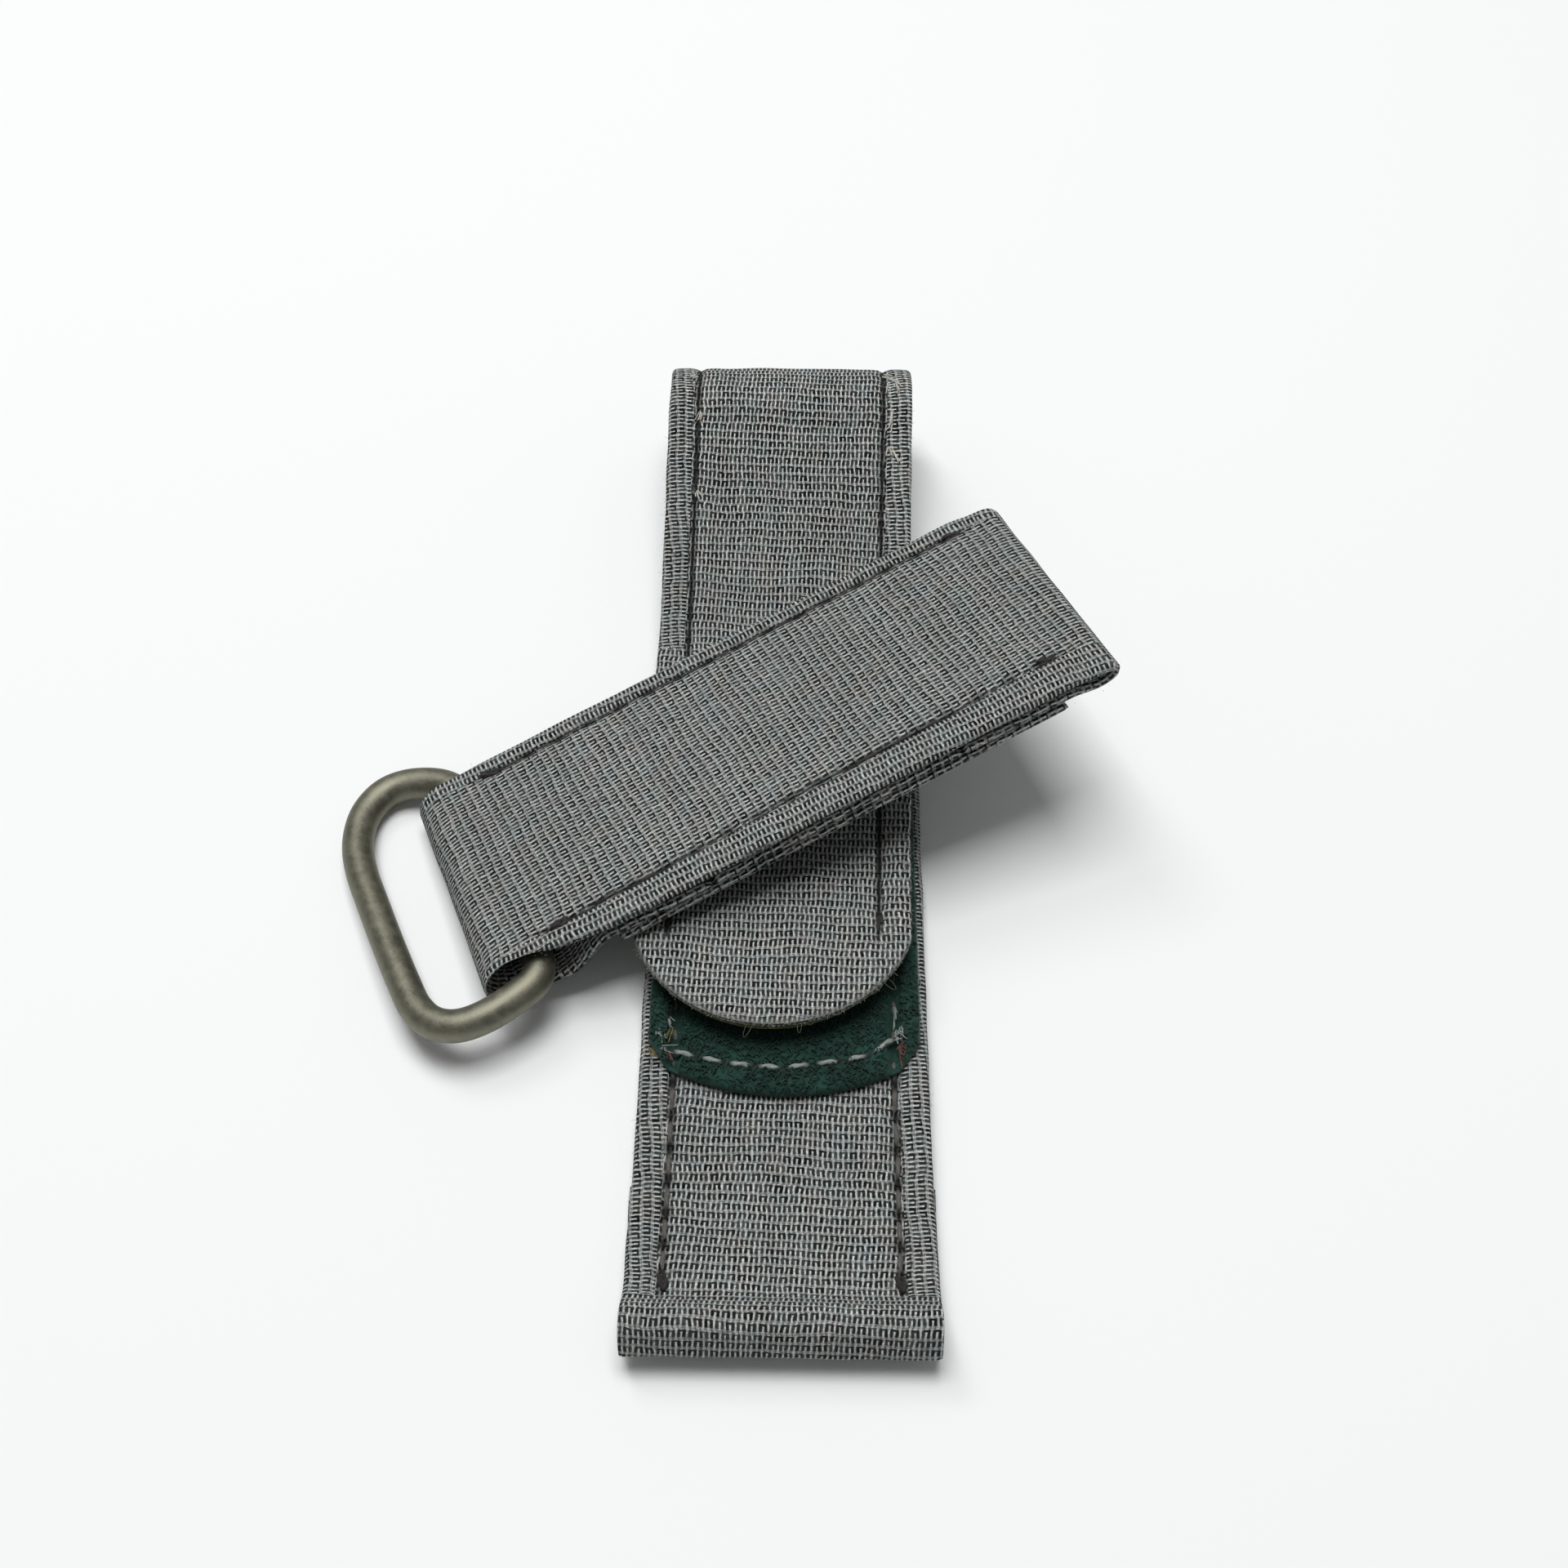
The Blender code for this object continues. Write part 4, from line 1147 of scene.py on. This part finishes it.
class STRAP_OT_long_seams(bpy.types.Operator):
    """Sews the long part's side seams and the curved seam across the pile's end"""

    bl_idname = "strap.long_seams"
    bl_label = "Long Part's Seams"

    def execute(self, context):
        thread = context.scene.strap_thread
        dark = spun("dark_polyester_thread", thread.dark)
        # deep is the side seams' thread painted in shade, for seams that lie deep in their grooves
        deep = spun("groove_shaded_polyester_thread", thread.groove_shaded)
        # knot is the seam thread painted in shade for its tacks
        knot = spun("shaded_thread_tack", thread.knot)
        sunk = groove_depth - thread.radius * 0.15
        first, last = long_seam_run
        for name, direction in (("left", -1), ("right", 1)):

            def on_lower(travel, height, aside, direction=direction):
                in_channel = between(skin(travel)[0], pile_near_y + channel_fade, pile_far_y, channel_fade)
                level = face_level(travel) + soft_ply / 2 - sunk + thread.radius * height
                across = direction * (strap_width / 2 - seam_inset) + aside * thread.radius
                return on_long(travel, level + channel_lift * in_channel, across)

            def on_skin_side(travel, height, aside, direction=direction):
                side = direction * (half_width(travel) - seam_inset)
                level = sunk + thread.radius * (1.15 - height) - bow(travel, side / half_width(travel))
                return on_long(travel, level, side + lean(travel) + aside * thread.radius)

            near, far = [(first - tack_length, first)], [(last, last + tack_length)]
            for part, spot, start, stop, stitches, tacks, seed, body, node in (
                ("lower_stitches", on_lower, first, fold_start, dark, near, 11, "lower_strap", "lower_seam"),
                ("lower_underside", on_skin_side, first, fold_start, deep, near, 15, "lower_strap", None),
                ("fold_stitches", on_skin_side, fold_start, flap_start, deep, (), 21, None, "fold_seam"),
                ("flap_stitches", on_skin_side, flap_start, last, deep, far, 31, "flap", "flap_seam"),
            ):
                made = sew(
                    f"{part}_{name}", spot, start, stop, thread, (stitches, knot), tacks, seed + direction,
                    long_seam_run,
                )
                put(made, body, node and f"{node}_{name}")
        self.pile_seam(thread)
        return {"FINISHED"}

    def pile_seam(self, thread):
        """Pale stitches on an arc across the pile, a little higher on the right."""
        pale = spun("pale_polyester_thread", thread.pale, 0.5)
        half = strap_width / 2 - seam_inset + thread.radius
        radius = arc_radius(half, pile_seam_depth)
        spread = radius * math.asin(half / radius)

        def spot(travel, height, aside):
            angle = travel / radius
            x = radius * np.sin(angle)
            lift = pile_seam_slope * x + pile_seam_hook * ease((x - half * 0.7) / (half * 0.3))
            y = pile_near_y + seam_inset + radius - radius * np.cos(angle) + lift + aside * thread.radius
            return together(x, y, pile_top + pile_thread_lift + 0.6 * thread.radius * height)

        seam = sew(
            "pile_end_stitches", spot, -spread, spread, thread, (pale, pale), seed=41, pitch=pile_seam_pitch,
        )
        put(seam, "lower_strap", "pile_end_seam")


# The short part


def flap_height(y):
    """Height of the flap's upper face over a place on its tip run."""
    tip_y, tip_z, heading = (float(value) for value in skin(np.array(tip_end)))
    return tip_z + (y - tip_y) * math.tan(heading)


short_low, short_middle, short_top = (short_ply / 2 + step * (short_ply + seat_gap) for step in range(3))
pocket_outer = wire_radius + wire_play + short_ply
pocket_radius = wire_radius + wire_play + short_ply / 2
bar_level = short_top - pocket_radius
short_stack = short_top + short_ply / 2
rest_edge_z = flap_height(crossing_y - short_width / 2 / math.cos(short_yaw)) + seat_gap


def short_tilt():
    """Angle at which the short part leans on the flap's edge while its pocket rests on the table."""
    run = (short_crossing - pocket_outer) * math.cos(short_yaw) + ring_end_far * math.sin(short_yaw)
    rise = rest_edge_z - pocket_outer
    return math.asin(rise / math.hypot(run, bar_level)) + math.atan2(bar_level, run)


tilt = short_tilt()


def turned(angle, axis):
    """A rotation matrix about the Y axis (1) or the Z axis (2)."""
    c, s = math.cos(angle), math.sin(angle)
    if axis == 1:
        return np.array(((c, 0, s), (0, 1, 0), (-s, 0, c)))
    return np.array(((c, -s, 0), (s, c, 0), (0, 0, 1)))


def short_frame():
    """Origin and axes of the short part: leaned over the flap's edge, then turned across it."""
    back = fold_centre_y - crossing_y
    edge_x = -back * math.tan(flap_lean) - drawn_in(back / flap_reach)
    ahead = short_crossing * math.cos(short_yaw)
    aside = short_crossing * math.sin(short_yaw)
    origin = (edge_x - ahead * math.cos(tilt), crossing_y - aside, rest_edge_z - ahead * math.sin(tilt))
    return np.array(origin), turned(-tilt, 1) @ turned(short_yaw, 2)


short_origin, short_axes = short_frame()


def on_short(along, level, across):
    """World points of the short part from its own distance, level and place across."""
    return short_origin + together(along, across, level) @ short_axes.T


def short_edge(along, side):
    """Place across at a share of the width: drawn in at the ring end, more on the near side."""
    end = np.where(side < 0, ring_end_near, ring_end_far)
    return side * (end + (short_width / 2 - end) * ease(along / ring_end_taper))


def pocket_path(steps):
    """Cloth from the lug tunnel along the top, round the ring's pocket and back into the stack."""
    share = np.linspace(0, 1, steps)
    angle = math.pi * share
    far = short_length - tunnel_length
    low = bar_level - pocket_radius
    along_top = together(far + (pocket_outer - far) * share, short_top)
    reach = pocket_radius + fold_reach
    turn = together(pocket_outer - reach * np.sin(angle), bar_level + pocket_radius * np.cos(angle))
    under = together(pocket_depth + pocket_slope * share, low + (short_middle - low) * ease(share))
    return np.concatenate([along_top, turn[1:], under, [[turn_back, short_middle]]])


def pocket_mouth(along, inside):
    """How much the cloth is thinned from within for the wire's bend: a smooth step in from the pocket's near
    edge times one along it, all of it over the first part of each."""
    return ease(1.4 - inside / mouth_reach) * ease(2.6 - along / pocket_outer)


def from_bar(along, level):
    """The way that leads out of the pocket's cloth, away from the captive bar: (d, l)/|(d, l)|."""
    away = together(np.minimum(along - pocket_outer, 0), level - bar_level)
    return away / (np.linalg.norm(away, axis=-1, keepdims=True) + 1e-9)


short_seam_run = (pocket_depth + tack_length, short_length - tunnel_length - tack_length / 2)


def short_relief(far, near, along, pitch):
    """The relief of the short part's two seams, from the gaps to them."""
    first, last = short_seam_run
    phase = seam_phase(along, first, last, pitch)
    inside = between(along, first - tack_length, last + tack_length, tack_length)
    both = [sewn(gap, phase, inside, margin_rise, short_groove_width, 0.95) for gap in (far, near)]
    return (far_part + near_part for far_part, near_part in zip(*both))


class STRAP_OT_short_cloth(bpy.types.Operator):
    """Weaves the short part: one canvas round both ends, its filler and its lining"""

    bl_idname = "strap.short_cloth"
    bl_label = "Short Part's Canvas"

    def execute(self, context):
        cloth = context.scene.strap_canvas
        canvas = woven("plain_woven_canvas_short", cloth.tone, cloth.gap_tone, cloth, 11.0)
        inner = woven("undyed_filler_cloth", cloth.lining_tone, cloth.lining_gap_tone, cloth, 5.0)
        face = self.face(canvas, context.scene.strap_thread.pitch)
        put(face, "short_strap", "short_face_canvas")
        fill = (turn_back + seat_gap, short_length - tuck_length - seat_gap, short_middle)
        lined = (
            pocket_depth + pocket_slope + seat_gap, short_length - tunnel_length - seat_gap,
            short_low + seat_gap / 3,
        )
        for name, run, material, low, high, slot, node in (
            ("filler_cloth", fill, inner, -turning_share, turning_share, "stiffener", "short_filler"),
            ("lining_cloth", lined, canvas, -1, 1, "canvas", "short_lining_canvas"),
            ("turning_near", fill, canvas, -1, -turning_share, "canvas", None),
            ("turning_far", fill, canvas, turning_share, 1, "canvas", None),
        ):
            put(self.flat_ply(f"short_{name}", *run, material, low, high), "short_strap", node)
        return {"FINISHED"}

    def face(self, canvas, pitch):
        """The face canvas: from its end tucked in at the bar tunnel, along the top and round the pocket."""
        centre = (short_middle + short_top) / 2 - short_ply / 2
        tunnel = tunnel_path(short_ply, centre, short_middle, short_top, short_bulge, 0, 40)
        tunnel[:, 0] = short_length - tunnel[:, 0]
        line, left = evened(np.concatenate([tunnel, pocket_path(60)[1:]]), face_row)
        side = sides(56)
        along, level, left = (column[:, None] + 0 * side for column in (line[:, 0], line[:, 1], left))
        across = short_edge(along, side)
        skew = ring_end_skew * (1 - side) / 2 * ease(1 - (along - pocket_outer) / ring_end_taper)
        across = across + side**4 * short_waver * ripple(left[:, :1], side, waver_length, 14)
        cut = mouth_cut * (side < 0) * side**6 * np.exp(-(((along - bar_from_fold) / mouth_width) ** 2))
        across = across + cut
        far = across - short_seam_far_y
        near = -across + short_seam_near_y + short_seam_drift * along / short_length
        relief, pressed = short_relief(far, near, along, pitch)
        on_top = ease((level - short_middle) / short_ply)
        mouth = pocket_mouth(along, across - across[:, :1])
        path = together(along - skew, level)
        path = path + mouth_thinning / 2 * mouth[..., None] * from_bar(along, level)
        return cloth_strip(
            "short_face_cloth", path, across, on_short, short_ply - mouth_thinning * mouth, canvas,
            off_zero(np.minimum(across - across[:, :1], across[:, -1:] - across), short_ply), left,
            relief * on_top + face_uneven * ripple(across, left, uneven_length, 15), sign=-1,
            marks={
                "pressed": pressed * on_top, "margin": np.where(on_top > 0.5, np.maximum(far, near), -1),
                # Below zero the stretched mark flattens the weave's painted crown highlight and thins its
                # painted gap shade
                "stretched": np.full(along.shape, -0.1),
            },
        )

    def flat_ply(self, name, start, stop, level, material, low, high):
        """A flat ply over a span of the short part's width."""
        along = start + (stop - start) * crowded(int((stop - start) / flat_row), 0.5)[:, None]
        side = (low + (high - low) * crowded(44, 0.85))[None, :]
        across = short_edge(along, side)
        along = along + 0 * side
        edge = off_zero(np.minimum(across - across[:, :1], across[:, -1:] - across), soft_short_ply)
        return cloth_strip(
            name, together(along, level), across, on_short, soft_short_ply, material, edge, along,
            flat_uneven * ripple(across, along, flat_uneven_length, 17),
        )


class STRAP_OT_short_seams(bpy.types.Operator):
    """Sews the short part's two long seams, each with a tack at both ends"""

    bl_idname = "strap.short_seams"
    bl_label = "Short Part's Seams"

    def execute(self, context):
        thread = context.scene.strap_thread
        # The short seams' thread is the side seams' thread painted in shade, as it lies deep in its groove
        dark = spun("groove_shaded_polyester_thread_short", thread.groove_shaded)
        # knot is the seam thread painted in shade for its tacks
        knot = spun("shaded_thread_tack_short", thread.knot)
        first, last = short_seam_run
        sunk = groove_depth + thread.radius * 0.45
        for name, place, drift in (
            ("near", short_seam_near_y, short_seam_drift), ("far", short_seam_far_y, 0),
        ):

            def spot(travel, height, aside, place=place, drift=drift):
                level = short_stack - sunk + thread.radius * height
                return on_short(travel, level, place + drift * travel / short_length + aside * thread.radius)

            seam = sew(
                f"short_stitches_{name}", spot, first, last, thread, (dark, knot),
                [(first - tack_length, first), (last, last + tack_length)], 51 + len(name),
            )
            put(seam, "short_strap", f"short_seam_{name}")
        return {"FINISHED"}


# Loose fibres


def strands(name, roots, ahead, length, radius, material, seed, spread=0.5, bend=1.2):
    """Loose fibres that curl away from their roots along arcs of an angle k:
    p + L/k·(sin(ks)·a + (1 − cos(ks))·c), with a random bearing a and a random side c."""
    dice = np.random.default_rng(seed)
    count = len(roots)
    turn = bend * np.linspace(0, 1, 9)[None, :, None]
    flat = np.array((1, 1, 0.3))
    ahead = ahead + flat * dice.normal(0, spread, (count, 3))
    curl = flat * dice.normal(0, spread, (count, 1, 3))
    length = (length * dice.uniform(0.3, 1.0, count))[:, None, None]
    paths = roots[:, None] + length / bend * (np.sin(turn) * ahead[:, None] + (1 - np.cos(turn)) * curl)
    paths[..., 2] = np.maximum(paths[..., 2], 2 * radius)
    planes = np.cross(ahead, dice.normal(0, 1, (count, 3)))
    return tubes(name, paths, np.broadcast_to(planes[:, None], paths.shape), radius, 3, material)


def tufts(name, bits, place, material, seed):
    """Thread ends: each bit (x0, y0, x1, y1) in millimetres is a bundle of fibres laid on a surface."""
    bits = np.repeat(np.array(bits) * millimetre, tuft_fibres, axis=0)
    start, end = place(bits[:, 0], bits[:, 1]), place(bits[:, 2], bits[:, 3])
    reach = np.linalg.norm(end - start, axis=1, keepdims=True)
    radius = tuft_fibre_radius
    roots = start + np.random.default_rng(seed).normal(0, 2 * radius, start.shape) * (1, 1, 0.4)
    return strands(name, roots, (end - start) / reach, 1.25 * reach[:, 0], radius, material, seed, 0.2)


def on_skin(x, y):
    """A place on the folded-back skin, found by its place in plan."""
    travel = np.linspace(fold_start + fold_radius * math.pi / 2, tip_end, 3000)
    return on_long(np.interp(-y, -skin(travel)[0], travel), -tuft_clearance, x)


def on_pile(x, y):
    """A place on the pile, found by its place in plan."""
    return together(x, y, pile_top + pile_thread_lift)


class STRAP_OT_loose_fibres(bpy.types.Operator):
    """Scatters lint along the cut edges and thread ends at the knots"""

    bl_idname = "strap.loose_fibres"
    bl_label = "Lint and Thread Ends"

    def execute(self, context):
        thread = context.scene.strap_thread
        lint = spun("canvas_lint", thread.lint, 0.8)
        dice = np.random.default_rng(8)
        count = thread.lint_count
        size = (lint_length, lint_radius, lint)
        side = np.sign(dice.uniform(-1, 1, count))
        travel = dice.uniform(0.002, fold_start, count)
        roots = on_long(travel, dice.uniform(lint_low, stack_height, count), side * strap_width / 2)
        out = together(side, 0, 0.3)
        put(strands("lower_lint", roots, out, *size, 1), "lower_strap")
        travel = dice.uniform(flap_start, tip_end - tip_depth, count)
        roots = on_long(travel, dice.uniform(0, flap_stack, count), side * half_width(travel) + lean(travel))
        put(strands("flap_lint", roots, out, *size, 2), "flap")
        share = dice.uniform(-1, 1, count)
        travel = tip_travel(share)
        level = dice.uniform(0, hook_height, count)
        roots = on_long(travel, level, share * half_width(travel) + lean(travel))
        out = together(share, -1, 0.2)
        put(strands("tip_lint", roots, out, tip_lint_length, tip_lint_radius, lint, 3), "flap")
        share = dice.uniform(-0.5, 0.8, hook_fibres)
        travel = tip_travel(share) - hook_lead
        roots = on_long(travel, hook_height / 2, share * half_width(travel) + lean(travel))
        fibre = spun("hook_tape_fibre", thread.fibre, 0.5)
        size_and_curl = (hook_fibre_length, hook_fibre_radius, fibre, 5, 0.7, 4.2)
        put(strands("hook_fibres", roots, together(share, -1, 0), *size_and_curl), "flap")
        along = dice.uniform(pocket_outer, short_length, count)
        roots = on_short(along, dice.uniform(lint_low, short_stack, count), short_edge(along, side))
        out = together(0, side, 0.3) @ short_axes.T
        put(strands("short_lint", roots, out, *size, 4), "short_strap")
        for name, bits, tone, where, body in (
            ("pale_pile_ends", pale_pile_bits, thread.pale, on_pile, "lower_strap"),
            ("ochre_pile_ends", ochre_pile_bits, thread.ochre, on_pile, "lower_strap"),
            ("rust_pile_ends", rust_pile_bits, thread.rust, on_pile, "lower_strap"),
            ("pale_flap_ends", pale_flap_bits, thread.cream, on_skin, "flap"),
            ("pale_fold_ends", pale_fold_bits, thread.cream, on_skin, None),
        ):
            put(tufts(name, bits, where, spun(name, tone), 60 + len(name)), body)
        return {"FINISHED"}


# The ring


def ring_rest_turn(line):
    """Turn at which the ring's outer side comes down on the table, found by halving."""
    along = math.sin(tilt) * math.cos(short_yaw)
    across = -math.sin(tilt) * math.sin(short_yaw)
    bar_z = rest_edge_z + (bar_from_fold - short_crossing) * along + bar_level * math.cos(tilt)
    low, high = -math.pi / 4, math.pi / 4
    for _ in range(40):
        middle = (low + high) / 2
        outward_z = along * math.cos(middle) - math.cos(tilt) * math.sin(middle)
        lowest = bar_z + np.min(line[:, 0] * outward_z + (line[:, 1] + ring_shift) * across) - wire_radius
        low, high = (middle, high) if lowest < 0 else (low, middle)
    return high


def rounded_line(points, count):
    """A closed smooth line through points: between two of them the Catmull-Rom cubic of their neighbours."""
    before, here, after, beyond = (np.roll(points, shift, axis=0) for shift in (1, 0, -1, -2))
    share = np.linspace(0, 1, 30, endpoint=False)[None, :, None]
    line = 0.5 * (
        2 * here[:, None]
        + (after - before)[:, None] * share
        + (2 * before - 5 * here + 4 * after - beyond)[:, None] * share**2
        + (3 * here - before - 3 * after + beyond)[:, None] * share**3
    )
    line = line.reshape(-1, 2)
    closed = np.concatenate([line, line[:1]])
    run = run_along(closed)
    marks = np.linspace(0, run[-1], count, endpoint=False)
    return together(*(np.interp(marks, run, closed[:, axis]) for axis in (0, 1)))


class STRAP_OT_ring(bpy.types.Operator):
    """Bends the ring from round wire, held in the short part's pocket"""

    bl_idname = "strap.ring"
    bl_label = "Wire Ring"

    def execute(self, context):
        ring = context.scene.strap_ring
        metal = satin_gunmetal("satin_gunmetal_wire", ring.tone, ring.worn_tone)
        line = rounded_line(np.array(ring_line_mm) * millimetre, 260)
        spin = turned(ring_rest_turn(line), 1)
        steps, around = len(line), 32
        ahead = np.roll(line, -1, axis=0) - np.roll(line, 1, axis=0)
        ahead /= np.linalg.norm(ahead, axis=1, keepdims=True)
        angle = np.arange(around) / around * math.tau
        out = together(ahead[:, 1], -ahead[:, 0])
        local = np.empty((steps, around, 3))
        local[..., :2] = line[:, None] + wire_radius * np.cos(angle)[None, :, None] * out[:, None]
        local[..., 2] = wire_radius * np.sin(angle)
        local = local @ spin.T + np.array((bar_from_fold, ring_shift, bar_level))
        points = (short_origin + local @ short_axes.T).reshape(-1, 3)
        index = np.arange(steps * around).reshape(steps, around)
        after, beside = np.roll(index, -1, axis=0), np.roll(index, -1, axis=1)
        faces = outward(points, quads(index, beside, np.roll(after, -1, axis=1), after))
        uv = together(np.arange(steps)[:, None] * millimetre, angle * wire_radius)
        put(mesh_object("wire_ring", points, faces, uv.reshape(-1, 2), metal), "ring", "ring")
        return {"FINISHED"}


class STRAP_OT_stage(bpy.types.Operator):
    """Sets the pale floor, the soft lights and the camera over the table"""

    bl_idname = "strap.stage"
    bl_label = "Floor, Light and Camera"

    def execute(self, context):
        scene = context.scene
        scene.view_settings.view_transform = "Standard"
        mesh = bpy.data.meshes.new("floor")
        corners = [(x * floor_reach, y * floor_reach, 0) for x, y in ((-1, -1), (1, -1), (1, 1), (-1, 1))]
        mesh.from_pydata(corners, [], [(0, 1, 2, 3)])
        material, _, shader = new_material("pale_table", 0.9, 0.1)
        shader.inputs["Base Color"].default_value = (*scene.strap_stage.floor_tone, 1)
        mesh.materials.append(material)
        floor = bpy.data.objects.new("floor", mesh)
        floor.location = (0, 0, -floor_drop)
        scene.collection.objects.link(floor)

        world = bpy.data.worlds.new("soft_white_room")
        scene.world = world
        world.use_nodes = True
        back = world.node_tree.nodes["Background"]
        back.inputs["Color"].default_value = (1, 1, 1, 1)
        seen = add(world.node_tree, "LightPath")
        level = add(world.node_tree, "Math", (seen, 0.75, 0.2), operation="MULTIPLY_ADD")
        world.node_tree.links.new(level, back.inputs["Strength"])
        for name, spot, size, power in lamps:
            lamp = bpy.data.lights.new(name, "AREA")
            lamp.size = size
            lamp.energy = power
            made = bpy.data.objects.new(name, lamp)
            scene.collection.objects.link(made)
            made.location = spot
            made.rotation_euler = (-made.location).to_track_quat("-Z", "Y").to_euler()

        lens = bpy.data.cameras.new("view")
        lens.lens = lens_mm
        lens.sensor_width = sensor_mm
        lens.clip_start = clip_start
        camera = bpy.data.objects.new("view", lens)
        scene.collection.objects.link(camera)
        away = camera_far * np.array((0, -math.sin(camera_tilt), math.cos(camera_tilt)))
        camera.location = turned(camera_yaw, 2) @ away + (camera_shift, 0, 0)
        camera.rotation_euler = (camera_tilt, 0, camera_yaw)
        scene.camera = camera
        return {"FINISHED"}


steps_in_order = (
    STRAP_OT_stage,
    STRAP_OT_long_cloth,
    STRAP_OT_panels,
    STRAP_OT_long_seams,
    STRAP_OT_short_cloth,
    STRAP_OT_short_seams,
    STRAP_OT_loose_fibres,
    STRAP_OT_ring,
)


class STRAP_PT_panel(bpy.types.Panel):
    """Lists the strap's sizes, colours and steps"""

    bl_idname = "STRAP_PT_panel"
    bl_label = "Canvas Watch Strap"
    bl_space_type = "VIEW_3D"
    bl_region_type = "UI"
    bl_category = "Strap"

    def draw(self, context):
        layout = self.layout
        for group in settings:
            box = layout.box()
            for field in settings[group].__annotations__:
                box.prop(getattr(context.scene, group), field)
        for step in steps_in_order:
            layout.operator(step.bl_idname)


settings = {
    "strap_canvas": StrapCanvas,
    "strap_thread": StrapThread,
    "strap_pile": StrapPile,
    "strap_ring": StrapRing,
    "strap_stage": StrapStage,
}


def register():
    for group, kind in settings.items():
        bpy.utils.register_class(kind)
        setattr(bpy.types.Scene, group, PointerProperty(type=kind))
    for kind in (*steps_in_order, STRAP_PT_panel):
        bpy.utils.register_class(kind)


def unregister():
    for kind in (*steps_in_order, STRAP_PT_panel):
        bpy.utils.unregister_class(kind)
    for group, kind in settings.items():
        delattr(bpy.types.Scene, group)
        bpy.utils.unregister_class(kind)


def main():
    register()
    for step in steps_in_order:
        group, name = step.bl_idname.split(".")
        getattr(getattr(bpy.ops, group), name)()


if __name__ == "__main__":
    main()
